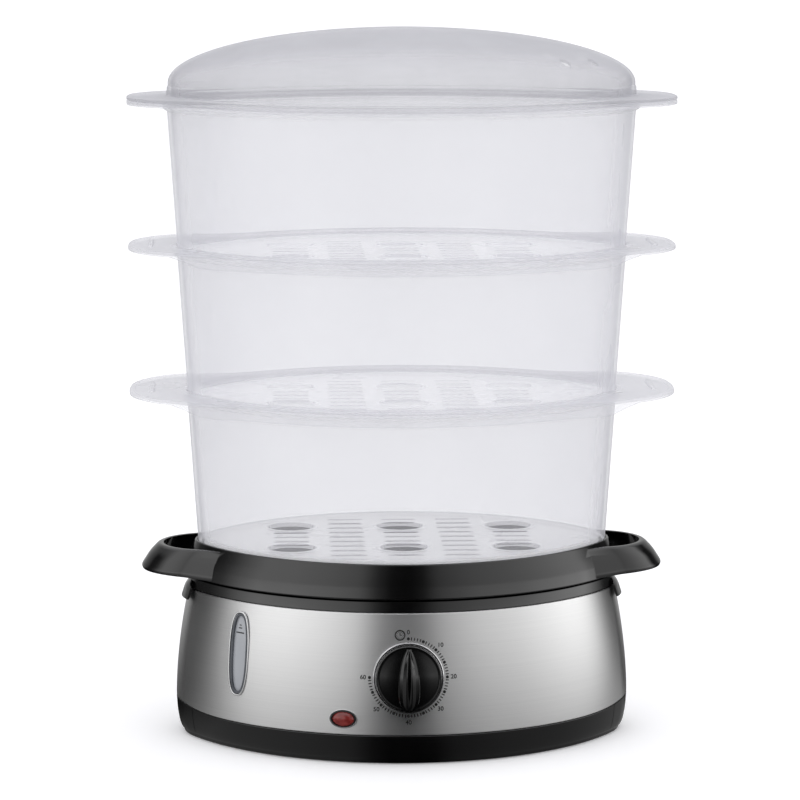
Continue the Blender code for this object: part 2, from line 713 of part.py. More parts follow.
def make_water_tank():
    """The tank hangs by its deck from the body's rim. A side duct leads water to the gauge,
    and bosses under the floor take the screws."""
    deck = band_size(BAND_TOP_Z)
    size = (TANK_HALF_WIDTH, TANK_HALF_DEPTH)
    floor = TANK_FLOOR_Z - TANK_WALL
    rings = [
        circle_ring(HEATER_HOLE_RADIUS, floor, size),
        offset_ring(size, -6.0 * MM, floor),
        offset_ring(size, 0.0, TANK_DECK_Z - TANK_WALL),
        offset_ring(deck, -8.5 * MM, 83.0 * MM),
        offset_ring(deck, -6.5 * MM, 86.5 * MM),
        offset_ring(deck, -9.0 * MM, 86.5 * MM),
        offset_ring(size, -TANK_WALL, TANK_DECK_Z),
        offset_ring(size, -8.0 * MM, TANK_FLOOR_Z),
        circle_ring(HEATER_HOLE_RADIUS, TANK_FLOOR_Z, size),
    ]
    tank = as_part(mesh_object("water_tank", loft(rings, cyclic=True)), BLACK)
    gauge = panel_frame(GAUGE_X, GAUGE_Z)
    bosses = [box((14 * MM, 40 * MM, 26 * MM), gauge @ Matrix.Translation((0, 0, -19 * MM)))]
    for x, y in corners(BOSS_X, BOSS_Y):
        place = Matrix.Translation((x, y, 0))
        bosses.append(cylinder(4.0 * MM, COVER_FLOOR_Z + GAP, 35 * MM, place, 12))
    for x, y in heater_screw_places():
        bosses.append(cylinder(3.6 * MM, 28.6 * MM, 35 * MM, Matrix.Translation((x, y, 0)), 12))
    unite(tank, bosses)
    cutters = [box((10 * MM, 34 * MM, 34 * MM), gauge @ Matrix.Translation((0, 0, -17 * MM)))]
    for x, y in corners(BOSS_X, BOSS_Y):
        cutters.append(cylinder(1.8 * MM, 0, 20 * MM, Matrix.Translation((x, y, 0)), 8))
    for x, y in heater_screw_places():
        cutters.append(cylinder(1.4 * MM, 0, 33 * MM, Matrix.Translation((x, y, 0)), 8))
    cut(tank, cutters)


def heater_screw_places():
    angles = (90, 210, 330)
    radius = 37.5 * MM
    return [
        (radius * math.cos(math.radians(a)), radius * math.sin(math.radians(a))) for a in angles
    ]


def make_heater():
    turned(
        "heater_plate",
        [
            (0, 39.5 * MM),
            (22 * MM, 39.5 * MM),
            (24 * MM, 38 * MM),
            (24 * MM, 30.9 * MM),
            (31 * MM, 30.9 * MM),
            (31 * MM, 28.7 * MM),
            (0, 28.7 * MM),
        ],
        ZINC,
    )
    turned(
        "heater_gasket",
        [(31 * MM, 33.2 * MM), (31 * MM, 31.2 * MM), (25.5 * MM, 31.2 * MM), (25.5 * MM, 33.2 * MM)],
        RUBBER,
    )
    clamp = cylinder(42 * MM, 26.8 * MM, 28.3 * MM, sides=24)
    heater_clamp = as_part(mesh_object("heater_clamp", clamp), ZINC)
    cutters = [cylinder(20 * MM, 20 * MM, 30 * MM, sides=20)]
    for x, y in heater_screw_places():
        cutters.append(cylinder(1.8 * MM, 20 * MM, 30 * MM, Matrix.Translation((x, y, 0)), 8))
    cut(heater_clamp, cutters)
    for number, (x, y) in enumerate(heater_screw_places(), 1):
        screw(f"heater_screw_{number}", Matrix.Translation((x, y, 26.5 * MM)), 1.1, 5.0, 6.0)
    for number, side in ((1, -1), (2, 1)):
        place = Matrix.Translation((side * 12 * MM, -6 * MM, 24.4 * MM))
        tab = box((6.3 * MM, 0.8 * MM, 8.0 * MM), place)
        as_part(mesh_object(f"heater_terminal_{number}", tab), BRASS)
    turned(
        "thermostat",
        [(0, 28.4 * MM), (8 * MM, 28.4 * MM), (8 * MM, 22 * MM), (5 * MM, 20.5 * MM), (0, 20.5 * MM)],
        BRASS,
        Matrix.Translation((0, 9 * MM, 0)),
        16,
    )
    fuse_place = Matrix.Translation((0, -14.5 * MM, 25.9 * MM)) @ Matrix.Rotation(math.pi / 2, 4, "Y")
    fuse = cylinder(2.2 * MM, -5 * MM, 5 * MM, fuse_place, 10)
    as_part(mesh_object("thermal_fuse", fuse), ZINC)


def screw(name, matrix, shank_mm, length_mm, head_mm):
    """A pan-head screw: its head lies below its origin, and its shank points up."""
    head = head_mm / 2
    profile = [
        (0, length_mm),
        (shank_mm, length_mm - 0.8),
        (shank_mm, 0),
        (head, 0),
        (head, -1.2),
        (head * 0.6, -1.8),
        (0, -1.8),
    ]
    return turned(name, [(r * MM, z * MM) for r, z in profile], ZINC, matrix, 8)


def make_turbo_ring():
    """The open sleeve that stands round the heater and lets water in under its arches."""
    ring_piece = turned(
        "turbo_ring",
        [(34 * MM, 72 * MM), (36 * MM, TANK_FLOOR_Z + GAP), (34 * MM, TANK_FLOOR_Z + GAP), (32 * MM, 72 * MM)],
        WHITE,
    )
    arches = []
    for k in range(4):
        turn = Matrix.Rotation(math.pi / 4 + math.pi / 2 * k, 4, "Z")
        place = turn @ Matrix.Translation((35 * MM, 0, TANK_FLOOR_Z))
        arches.append(box((12 * MM, 14 * MM, 12 * MM), place))
    cut(ring_piece, arches)


def make_timer():
    """The clockwork timer behind the front panel and the knob on its shaft."""
    axis = bpy.data.objects.new("knob_axis", None)
    PARTS.objects.link(axis)
    axis.matrix_world = panel_frame(0.0, KNOB_Z)
    frame = panel_frame(0.0, KNOB_Z)
    turned(
        "knob_bezel",
        [
            (BEZEL_RADIUS - 0.5 * MM, 1.6 * MM),
            (BEZEL_RADIUS, 1.1 * MM),
            (BEZEL_RADIUS, GAP),
            (BEZEL_RADIUS - 1.2 * MM, GAP),
            (BEZEL_RADIUS - 1.2 * MM, 1.1 * MM),
        ],
        CHROME,
        frame,
        32,
    )
    knob = turned(
        "knob",
        [
            (0, 6.5 * MM),
            (KNOB_RADIUS - 1.6 * MM, 6.0 * MM),
            (KNOB_RADIUS - 0.6 * MM, 5.0 * MM),
            (KNOB_RADIUS, 2.4 * MM),
            (0, 2.4 * MM),
        ],
        BLACK,
        frame,
        32,
    )
    unite(knob, [knob_grip()])
    cut(knob, [cylinder(SHAFT_RADIUS + GAP, 0, 11 * MM, sides=16)])
    shaft = turned(
        "timer_shaft",
        [(0, 10.6 * MM), (SHAFT_RADIUS, 10.4 * MM), (SHAFT_RADIUS, -20 * MM), (0, -20 * MM)],
        ZINC,
        frame,
        16,
    )
    for piece in (knob, shaft):
        place = piece.matrix_world.copy()
        piece.parent = axis
        piece.matrix_parent_inverse = axis.matrix_world.inverted()
        piece.matrix_world = place
    case_place = frame @ Matrix.Translation((0, 0, -16.0 * MM))
    case = as_part(mesh_object("timer_case", box((42 * MM, 40 * MM, 19 * MM), case_place)), ZINC)
    cutters = [cylinder(SHAFT_RADIUS + GAP, -21 * MM, 2 * MM, frame, 16)]
    for side in (-1, 1):
        place = frame @ Matrix.Translation((side * 11 * MM, 0, 0))
        cutters.append(cylinder(1.6 * MM, -13 * MM, 2 * MM, place, 8))
    cut(case, cutters)
    turned(
        "timer_bell",
        [
            (0, -30.0 * MM),
            (12 * MM, -30.0 * MM),
            (14.5 * MM, -28.6 * MM),
            (14.5 * MM, -26.0 * MM),
            (15.5 * MM, -26.0 * MM),
            (15.5 * MM, -29.0 * MM),
            (12.5 * MM, -31.0 * MM),
            (0, -31.0 * MM),
        ],
        BRASS,
        frame,
        20,
    )
    turn_over = Matrix.Rotation(math.pi, 4, "X")
    for side, name in ((-1, "timer_screw_left"), (1, "timer_screw_right")):
        place = frame @ Matrix.Translation((side * 11 * MM, 0, GAP))
        screw(name, place @ turn_over, 1.2, 12.0, 4.6)


def knob_grip():
    """The knob's grip: a boat-shaped ridge, narrow where it points and full at its heel."""
    sections = []
    steps = 10
    for k in range(steps + 1):
        t = k / steps
        y = (16.6 - 33.0 * t) * MM
        half = (1.3 + 5.0 * math.sin(min(t * 1.25, 1.0) * math.pi / 2) ** 1.2) * MM
        if t > 0.8:
            half *= math.sqrt(max(1 - ((t - 0.8) / 0.22) ** 2, 0.05))
        crown = (6.0 + 8.0 * math.sin(math.pi * min(0.12 + 0.88 * t, 0.97)) ** 0.45) * MM
        sections.append(
            [
                Vector((half, y, 4.0 * MM)),
                Vector((half * 0.94, y, crown * 0.6)),
                Vector((half * 0.5, y, crown)),
                Vector((-half * 0.5, y, crown)),
                Vector((-half * 0.94, y, crown * 0.6)),
                Vector((-half, y, 4.0 * MM)),
            ]
        )
    return loft(sections)


def make_lamp():
    frame = panel_frame(LAMP_X, LAMP_Z)
    lens = turned(
        "indicator_lens",
        [
            (0, 2.4 * MM),
            (2.4 * MM, 2.0 * MM),
            (LAMP_RADIUS, 0.4 * MM),
            (LAMP_RADIUS, -3.0 * MM),
            (0, -3.0 * MM),
        ],
        RED,
        None,
        20,
    )
    lens.matrix_world = frame @ Matrix.Diagonal((LAMP_STRETCH, 1.0, 1.0, 1.0))
    holder_place = frame @ Matrix.Translation((0, 0, -10.6 * MM))
    holder = mesh_object("lamp_holder", box((14 * MM, 8 * MM, 12 * MM), holder_place))
    as_part(holder, WHITE)
    cut(holder, [cylinder(2.8 * MM, -18 * MM, 0, frame, 12)])
    lamp = mesh_object("neon_lamp", cylinder(2.4 * MM, -20 * MM, -4 * MM, frame, 12))
    as_part(lamp, RED)


def make_gauge():
    """The water gauge's window, and the seal between it and the tank's duct."""
    frame = panel_frame(GAUGE_X, GAUGE_Z)
    window = long_oval(GAUGE_HALF_WIDTH, GAUGE_HALF_HEIGHT, -2.6 * MM, -0.6 * MM, frame)
    as_part(mesh_object("gauge_lens", window), SMOKE)
    seal = long_oval(GAUGE_HALF_WIDTH, GAUGE_HALF_HEIGHT, -5.6 * MM, -2.9 * MM, frame)
    gauge_seal = as_part(mesh_object("gauge_seal", seal), RUBBER)
    hole = long_oval(GAUGE_HALF_WIDTH - 1.8 * MM, GAUGE_HALF_HEIGHT - 1.8 * MM, -8 * MM, 0, frame)
    cut(gauge_seal, [hole])


def make_feet_and_screws():
    names = ("front_left", "front_right", "rear_left", "rear_right")
    for name, (x, y) in zip(names, corners(FOOT_X, FOOT_Y)):
        turned(
            f"foot_{name}",
            [
                (0, 4.2 * MM),
                (6.0 * MM, 4.2 * MM),
                (7.0 * MM, 0.8 * MM - STAND),
                (6.4 * MM, -STAND),
                (0, -STAND),
            ],
            RUBBER,
            Matrix.Translation((x, y, 0)),
            20,
        )
    for name, (x, y) in zip(names, corners(BOSS_X, BOSS_Y)):
        place = Matrix.Translation((x, y, COVER_UNDERSIDE_Z - GAP))
        screw(f"base_screw_{name}", place, 1.4, 12.0, 6.4)


def make_wiring():
    """The cord's gland at the rear, the terminal block, and the wires between the parts."""
    gland_frame = panel_frame(0.0, 26.0 * MM, rear=True)
    turned(
        "cord_gland",
        [
            (3.5 * MM, 2.4 * MM),
            (7.5 * MM, 1.8 * MM),
            (7.8 * MM, GAP),
            (5.7 * MM, GAP),
            (5.7 * MM, -7.0 * MM),
            (3.5 * MM, -7.0 * MM),
        ],
        BLACK,
        gland_frame,
        20,
    )
    block_place = Matrix.Translation((26 * MM, 62 * MM, 13.5 * MM))
    block = mesh_object("terminal_block", box((30 * MM, 14 * MM, 12 * MM), block_place))
    as_part(block, WHITE)
    wire("wire_block_to_timer", [(37, 54, 15), (41, 42, 13), (40, 0, 12), (36, -44, 13), (18, -54, 22), (14, -61.2, 29)])
    wire("wire_timer_to_heater", [(-12, -61.2, 29), (-13, -55, 20), (-13, -30, 17), (-12, -12, 18), (-12, -6, 19.2)])
    wire("wire_block_to_heater", [(18, 54, 15), (20, 44, 14), (17, 14, 14), (12, -2, 16), (12, -6, 19.2)])
    wire("wire_lamp", [(-33, -62, 24), (-31, -57, 20), (-24, -54, 18), (-19, -55, 22), (-17, -59, 30)])


def wire(name, points_mm):
    """An insulated wire through the points, smoothed by a Catmull-Rom curve."""
    points = [Vector(p) * MM for p in points_mm]
    padded = [points[0] * 2 - points[1], *points, points[-1] * 2 - points[-2]]
    smooth = []
    steps = 4
    for a, b, c, d in zip(padded, padded[1:], padded[2:], padded[3:]):
        for k in range(steps):
            t = k / steps
            smooth.append(
                0.5 * (2 * b + (c - a) * t + (2 * a - 5 * b + 4 * c - d) * t**2
                       + (3 * b - a - 3 * c + d) * t**3)
            )
    smooth.append(points[-1])
    curve = bpy.data.curves.new(name, "CURVE")
    curve.dimensions = "3D"
    curve.bevel_depth = 1.1 * MM
    curve.bevel_resolution = 1
    curve.use_fill_caps = True
    spline = curve.splines.new("POLY")
    spline.points.add(len(smooth) - 1)
    for point, co in zip(spline.points, smooth):
        point.co = (*co, 1.0)
    as_part(bpy.data.objects.new(name, curve), RUBBER)


def raise_onto_feet():
    for obj in [*PARTS.objects, *CUTTERS.objects]:
        if obj.parent is None:
            obj.matrix_world = Matrix.Translation((0, 0, STAND)) @ obj.matrix_world


make_base_cover()
make_steel_band()
make_body_shell()
make_water_tank()
make_heater()
make_turbo_ring()
make_timer()
make_lamp()
make_gauge()
make_feet_and_screws()
make_wiring()
make_drip_tray()
make_trays()
make_lid()
raise_onto_feet()
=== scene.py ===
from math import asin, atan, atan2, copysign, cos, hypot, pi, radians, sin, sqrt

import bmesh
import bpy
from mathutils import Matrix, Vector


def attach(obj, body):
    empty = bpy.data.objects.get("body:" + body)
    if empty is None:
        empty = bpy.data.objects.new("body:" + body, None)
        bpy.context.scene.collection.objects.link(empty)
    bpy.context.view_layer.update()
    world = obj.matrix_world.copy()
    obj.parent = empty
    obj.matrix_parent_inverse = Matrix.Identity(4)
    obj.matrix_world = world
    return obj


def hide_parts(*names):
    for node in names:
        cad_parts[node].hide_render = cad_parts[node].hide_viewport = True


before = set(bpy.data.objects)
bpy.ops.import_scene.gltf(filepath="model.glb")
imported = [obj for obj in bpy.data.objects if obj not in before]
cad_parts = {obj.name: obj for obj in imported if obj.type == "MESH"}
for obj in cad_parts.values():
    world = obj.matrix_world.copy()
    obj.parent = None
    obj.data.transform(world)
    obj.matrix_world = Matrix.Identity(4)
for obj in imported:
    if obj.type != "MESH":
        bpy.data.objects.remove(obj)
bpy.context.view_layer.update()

# The looks of the three-tier egg and food steamer, +Z up, the front towards -Y. Each piece
# follows the CAD's own dimensions at a finer grain, with the rounding, beads, seats and printing
# that the CAD leaves out. Lengths are in millimetres, and become metres where points, moves and
# boxes are made. Heights are measured from the CAD's datum inside the base, and each piece is
# raised by STAND when it is added.

MM = 0.001
GAP = 0.3

# The oval plan: steps in a quarter's tight end arc and in its wide side arc
END_STEPS = 12
SIDE_STEPS = 26
END_RADIUS_SHARE = 0.29
CORNER_STEPS = 4

# The base
STAND = 2.4
BAND_FOOT_Z = 14.4
BAND_TOP_Z = 80.5
BAND_HALF_WIDTH = 127.0
BAND_HALF_DEPTH = 90.0
BAND_WIDTH_TAPER = 7.4
BAND_DEPTH_TAPER = 5.2
BAND_THICKNESS = 0.8
BAND_STEPS = 14
FOOT_RISE = 4.5
FOOT_RISE_SHARPNESS = 14
SHELL_THICKNESS = 2.2
RIM_TOP_Z = 88.0
COVER_UNDERSIDE_Z = 4.5
COVER_FLOOR_Z = 7.0
LIP_Z = -2.0
BOSS_X = 50.0
BOSS_Y = 36.0
SEAM_X = 118.6
SEAM_Y = -25.7
SEAM_TURN = radians(58)
GLAND_Z = 26.0

# The water tank and the heater
TANK_HALF_WIDTH = 100.0
TANK_HALF_DEPTH = 56.0
TANK_FLOOR_Z = 36.0
TANK_WALL = 2.5
TANK_DECK_Z = 80.0
HEATER_HOLE_RADIUS = 25.0
HEATER_SCREW_RADIUS = 37.5

# The drip tray
COLLAR_TOP_Z = 107.0
COLLAR_LOW_Z = RIM_TOP_Z + GAP
COLLAR_WALL = 2.0
DRIP_FLOOR_Z = 90.4
CHIMNEY_TOP_Z = 99.0
COLLAR_LOW_SIZE = (122.0, 87.2)
COLLAR_MID_SIZE = (120.2, 86.4)
COLLAR_TOP_SIZE = (115.8, 83.8)
COLLAR_MID_Z = 98.0
HANDLE_TOP_Z = 105.4
HANDLE_LOW_Z = 91.0
HANDLE_WALL = 3.0
HANDLE_RADIUS = 29.0
HANDLE_ROOT_Y = 34.8
HANDLE_ROOT_DROP = 2.4
HANDLE_STEPS = 36

# The trays
TRAY_NAMES = ("tray_lower", "tray_middle", "tray_upper")
TRAY_BOTTOM_Z = 105.0
TRAY_HEIGHT = 86.5
TRAY_PITCH = 80.6
TRAY_HALF_WIDTH = 114.0
TRAY_HALF_DEPTH = 82.0
TRAY_GROWTH = 5.0
TRAY_TAPER = 0.07
TRAY_WALL = 1.8
TRAY_CORNER = 5.0
TRAY_FLOOR = 2.0
LEDGE_DEPTH = 4.9
FLANGE_HALF_WIDTH = 132.0
FLANGE_HALF_DEPTHS = (99.0, 100.5, 102.0)
LOBE_CENTRE = 95.5
LOBE_REACH = 56.0
LOBE_HALF_WIDTH = 64.0
LOBE_SQUARENESS = 2.2
LOBE_BLEND = 16
LOBE_START = 106.0
LOBE_FULL = 129.0
LOBE_SINKS = (-1.2, -0.9, 0.0)
LOBE_RIB_X = 139.0
SKIRT_DEPTHS = (8.2, 8.1, 4.2)
EGG_COLUMNS = (-62.0, 0.0, 62.0)
EGG_ROWS = (-33.0, 33.0)
EGG_HOLE_RADIUS = 13.0
SLOT_LENGTH = 20.0
SLOT_WIDTH = 4.0
SLOT_PITCH_X = 31.0
SLOT_PITCH_Y = 14.0

# The lid
LID_FLANGE_Z = TRAY_BOTTOM_Z + 2 * TRAY_PITCH + TRAY_HEIGHT + GAP
LID_HALF_WIDTH = 129.4
LID_HALF_DEPTH = 98.0
LID_CREASE_Z = 361.6
LID_TOP_Z = 391.95
LID_WALL = 1.8
DOME_STEPS = 24
VENT_RADIUS = 3.0
VENTS = ((85.5, -54.0), (102.0, -36.5), (85.5, 54.0), (102.0, 36.5))

# The front panel
KNOB_Z = 46.1
KNOB_RADIUS = 17.8
BEZEL_RADIUS = 19.3
SHAFT_RADIUS = 3.0
GRIP_HALF_WIDTH = 5.85
GRIP_TIP_Y = 16.6
GRIP_LENGTH = 33.0
LAMP_X = -35.1
LAMP_Z = 23.0
LAMP_RADIUS = 4.5
LAMP_STRETCH = 1.5
GAUGE_X = -91.7
GAUGE_Z = 52.5
GAUGE_HALF_HEIGHT = 22.3
GAUGE_HALF_WIDTH = 6.3
GAUGE_SQUARENESS = 2.6
DIAL_SWEEP = radians(270)
DIAL_MINUTES = 60
DIAL_DOT_RADIUS = 21.0
DIAL_NUMERAL_RADIUS = 24.5
DIAL_LEAN = radians(4.85)
CLOCK_ANGLE = radians(-11.1)
CLOCK_RADIUS = 23.4
PRINT_HALF = 0.05
LEVEL_X = -0.4
LEVEL_Y = 11.4


# -------- shapes


def end_radius(half_width):
    return END_RADIUS_SHARE * half_width


def side_radius(half_width, half_depth):
    """The radius of the two wide arcs, which meet the tight end arcs without a corner."""
    r = end_radius(half_width)
    return ((half_width - r) ** 2 + half_depth**2 - r**2) / (2 * (half_depth - r))


def oval(half_width, half_depth):
    """Points round a four-arc oval, anticlockwise from +X."""
    r = end_radius(half_width)
    wide = side_radius(half_width, half_depth)
    joint = atan2(wide - half_depth, half_width - r)
    angles = [joint * k / END_STEPS for k in range(END_STEPS)]
    angles += [joint + (pi / 2 - joint) * k / SIDE_STEPS for k in range(SIDE_STEPS)]
    quarter = []
    for angle in angles:
        if angle < joint:
            quarter.append((half_width - r + r * cos(angle), r * sin(angle)))
        else:
            y = wide * sin(angle) - (wide - half_depth)
            quarter.append((wide * cos(angle), y))
    first = quarter + [(0.0, half_depth)] + [(-x, y) for x, y in reversed(quarter)]
    return first + [(x, -y) for x, y in reversed(first[1:-1])]


def point(x, y, z):
    return Vector((x * MM, y * MM, z * MM))


def shift(x, y, z=0.0):
    return Matrix.Translation(point(x, y, z))


def spin(angle, axis="Z"):
    return Matrix.Rotation(angle, 4, axis)


def ring(half_width, half_depth, z, rise=0.0):
    """An oval at one height. Its very ends stand higher by rise."""
    points = oval(half_width, half_depth)
    sharpness = FOOT_RISE_SHARPNESS
    return [point(x, y, z + rise * (abs(x) / half_width) ** sharpness) for x, y in points]


def offset_ring(size, offset, z, rise=0.0):
    return ring(size[0] + offset, size[1] + offset, z, rise)


def ovals(rows):
    """Rings with their roundings, from rows of (size, offset, height, rounding), and the rise
    of the very ends where they stand higher."""
    return [(offset_ring(size, offset, z, *rise), soft) for size, offset, z, soft, *rise in rows]


def circle_ring(radius, z, size):
    """A circle at one height, with as many points as an oval of that size, and facing them."""
    points = []
    for x, y in oval(*size):
        angle = atan2(y / size[1], x / size[0])
        points.append(point(radius * cos(angle), radius * sin(angle), z))
    return points


def round_corner(before, corner, after, radius):
    """Points of a curve that cuts the corner off at about radius from it."""
    ends = []
    for other in (before, after):
        span = other - corner
        share = min(radius / max(span.length, 1e-9), 0.48)
        ends.append(corner + span * share)
    points = []
    for k in range(CORNER_STEPS + 1):
        t = k / CORNER_STEPS
        points.append(ends[0] * (1 - t) ** 2 + corner * 2 * t * (1 - t) + ends[1] * t**2)
    return points


def softened(rings, cyclic=False):
    """Rounds the corners of a stack of (ring, radius): each with a radius becomes a few."""
    made = []
    for i, (points, radius) in enumerate(rings):
        if not radius or (not cyclic and i in (0, len(rings) - 1)):
            made.append(points)
            continue
        before, after = rings[i - 1][0], rings[(i + 1) % len(rings)][0]
        reach = radius * MM
        corners = [round_corner(a, b, c, reach) for a, b, c in zip(before, points, after)]
        made += [[corner[k] for corner in corners] for k in range(CORNER_STEPS + 1)]
    return made


def loft(rings, cyclic=False):
    """A closed surface through a stack of rings: capped at both ends, or joined end to end."""
    bm = bmesh.new()
    rows = [[bm.verts.new(point) for point in points] for points in rings]
    count = len(rows[0])
    pairs = list(zip(rows, rows[1:]))
    if cyclic:
        pairs.append((rows[-1], rows[0]))
    for low, high in pairs:
        for i in range(count):
            j = (i + 1) % count
            bm.faces.new((low[i], low[j], high[j], high[i]))
    if not cyclic:
        bm.faces.new(list(reversed(rows[0])))
        bm.faces.new(rows[-1])
    return bm


def closed(rings):
    """A hollow shape: the rings, with their corners rounded, run on from the last to the first."""
    return loft(softened(rings, cyclic=True), cyclic=True)


def moved(bm, matrix):
    bmesh.ops.transform(bm, matrix=matrix, verts=bm.verts)
    return bm


def joined(bms):
    """One bmesh that holds all the shapes, each still its own closed body."""
    whole = bmesh.new()
    for bm in bms:
        bmesh.ops.recalc_face_normals(bm, faces=bm.faces)
        part = bpy.data.meshes.new("part")
        bm.to_mesh(part)
        bm.free()
        whole.from_mesh(part)
        bpy.data.meshes.remove(part)
    return whole


def linked(name, data):
    obj = bpy.data.objects.new(name, data)
    bpy.context.scene.collection.objects.link(obj)
    return obj


def mesh_object(name, bm):
    bmesh.ops.recalc_face_normals(bm, faces=bm.faces)
    mesh = bpy.data.meshes.new(name)
    bm.to_mesh(mesh)
    bm.free()
    return linked(name, mesh)


def combine(obj, bms, operation):
    """Cuts the shapes from the object, or joins them to it, and keeps the result as its mesh."""
    helper = mesh_object("helper", joined(bms))
    modifier = obj.modifiers.new("combine", "BOOLEAN")
    modifier.operation = operation
    modifier.object = helper
    graph = bpy.context.evaluated_depsgraph_get()
    result = bpy.data.meshes.new_from_object(obj.evaluated_get(graph))
    obj.modifiers.clear()
    old, obj.data = obj.data, result
    bpy.data.meshes.remove(old)
    bpy.data.objects.remove(helper)


def circle(radius, z, steps=48, stretch=1.0, start=0.0):
    points = []
    for k in range(steps):
        angle = start + 2 * pi * k / steps
        points.append(point(stretch * radius * cos(angle), radius * sin(angle), z))
    return points


def cylinder(radius, low, high, matrix=None, steps=32, stretch=1.0):
    bm = loft([circle(radius, low, steps, stretch), circle(radius, high, steps, stretch)])
    return moved(bm, matrix or Matrix.Identity(4))


def turned(profile, matrix=None, steps=64, stretch=1.0):
    """A turned shape from (radius, height, rounding): capped where the profile ends short of
    the axis, or a closed section if it starts with its end point."""
    cyclic = profile[0] == profile[-1]
    rows = profile[:-1] if cyclic else profile
    rings = [(circle(r, z, steps, stretch), soft) for r, z, soft in rows]
    return moved(loft(softened(rings, cyclic), cyclic), matrix or Matrix.Identity(4))


def capsule(half_width, half_height, z, arc_steps=16):
    """A ring with straight sides and round ends up and down."""
    rise = half_height - half_width
    points = []
    for centre, start in ((rise, 0.0), (-rise, pi)):
        for step in range(arc_steps + 1):
            angle = start + pi * step / arc_steps
            x, y = half_width * cos(angle), centre + half_width * sin(angle)
            points.append(point(x, y, z))
    return points


def long_oval(half_width, half_height, z, steps=72):
    """A ring that is a tall oval, squarer than an ellipse."""
    points = []
    power = 2 / GAUGE_SQUARENESS
    for step in range(steps):
        angle = 2 * pi * (step + 0.5) / steps
        cosine, sine = cos(angle), sin(angle)
        x = copysign(half_width * abs(cosine) ** power, cosine)
        y = copysign(half_height * abs(sine) ** power, sine)
        points.append(point(x, y, z))
    return points


def capsule_block(half_width, half_height, low, high, matrix, arc_steps=16):
    rings = [capsule(half_width, half_height, z, arc_steps) for z in (low, high)]
    return moved(loft(rings), matrix)


def box(size, matrix):
    bm = bmesh.new()
    scale = Matrix.Diagonal((*point(*size), 1.0))
    bmesh.ops.create_cube(bm, size=1.0, matrix=matrix @ scale)
    return bm


def band_size(z):
    """Half width and half depth of the steel band's outer face at a height."""
    rise = ((z - BAND_FOOT_Z) / (BAND_TOP_Z - BAND_FOOT_Z)) ** 2
    return BAND_HALF_WIDTH - BAND_WIDTH_TAPER * rise, BAND_HALF_DEPTH - BAND_DEPTH_TAPER * rise


def band_ring(share, offset):
    """The band's outline at a share of its height, whose very ends are higher at the foot."""
    z = BAND_FOOT_Z + (BAND_TOP_Z - BAND_FOOT_Z) * share
    return offset_ring(band_size(z), offset, z, FOOT_RISE * (1 - share) ** 4)


def collar(outer, inner, low, high, soft):
    """The profile of a plain turned ring."""
    places = ((outer, low), (outer, high), (inner, high), (inner, low), (outer, low))
    return [(r, z, soft) for r, z in places]


def panel_frame(x, z, rear=False):
    """A frame on the band's outer face: local Z out of the band, local Y up it."""
    half_width, half_depth = band_size(z)
    wide = side_radius(half_width, half_depth)
    y = -(sqrt(wide**2 - x**2) - (wide - half_depth))
    step = 1.0
    tilt = atan((band_size(z - step)[1] - band_size(z + step)[1]) / (2 * step))
    turn = asin(x / wide)
    place = shift(x, y, z) @ spin(turn) @ spin(pi / 2 - tilt, "X")
    return spin(pi) @ place if rear else place


def corners(x, y):
    return [(sx * x, sy * y) for sy in (-1, 1) for sx in (-1, 1)]


def around(radius, degrees):
    angle = radians(degrees)
    return radius * cos(angle), radius * sin(angle)


# -------- materials


def link_value(tree, source, target):
    """Sets a socket from a plain value, or links it from another socket."""
    if isinstance(source, bpy.types.NodeSocket):
        tree.links.new(source, target)
    else:
        target.default_value = source


def node(tree, kind, settings=None, **inputs):
    made = tree.nodes.new(kind)
    for name, value in (settings or {}).items():
        setattr(made, name, value)
    for name, value in inputs.items():
        link_value(tree, value, made.inputs[name.replace("_", " ")])
    return made


def noise(tree, scale, detail=3.0, roughness=0.55):
    """Noise whose grain is 1/scale metres long, the same on every axis or one scale for each."""
    scale = scale if isinstance(scale, tuple) else (scale,) * 3
    coordinates = node(tree, "ShaderNodeTexCoord").outputs["Object"]
    stretched = node(tree, "ShaderNodeMapping", Vector=coordinates, Scale=scale)
    made = node(tree, "ShaderNodeTexNoise", Vector=stretched.outputs["Vector"], Scale=1.0)
    made.inputs["Detail"].default_value = detail
    made.inputs["Roughness"].default_value = roughness
    return made.outputs["Fac"]


def ramp(tree, factor, stops):
    """A colour or grey for each place along the factor."""
    made = node(tree, "ShaderNodeValToRGB", Fac=factor)
    elements = made.color_ramp.elements
    while len(elements) < len(stops):
        elements.new(0.5)
    for element, (place, colour) in zip(elements, stops):
        element.position = place
        element.color = (*colour, 1.0) if isinstance(colour, tuple) else (colour,) * 3 + (1.0,)
    return made.outputs["Color"]


def span(tree, value, start, end, low=0.0, high=1.0):
    """The value from start to end spread over low to high."""
    limits = {"From_Min": start, "From_Max": end, "To_Min": low, "To_Max": high}
    return node(tree, "ShaderNodeMapRange", Value=value, **limits).outputs["Result"]


NOISE_SPAN = (0.3, 0.7)


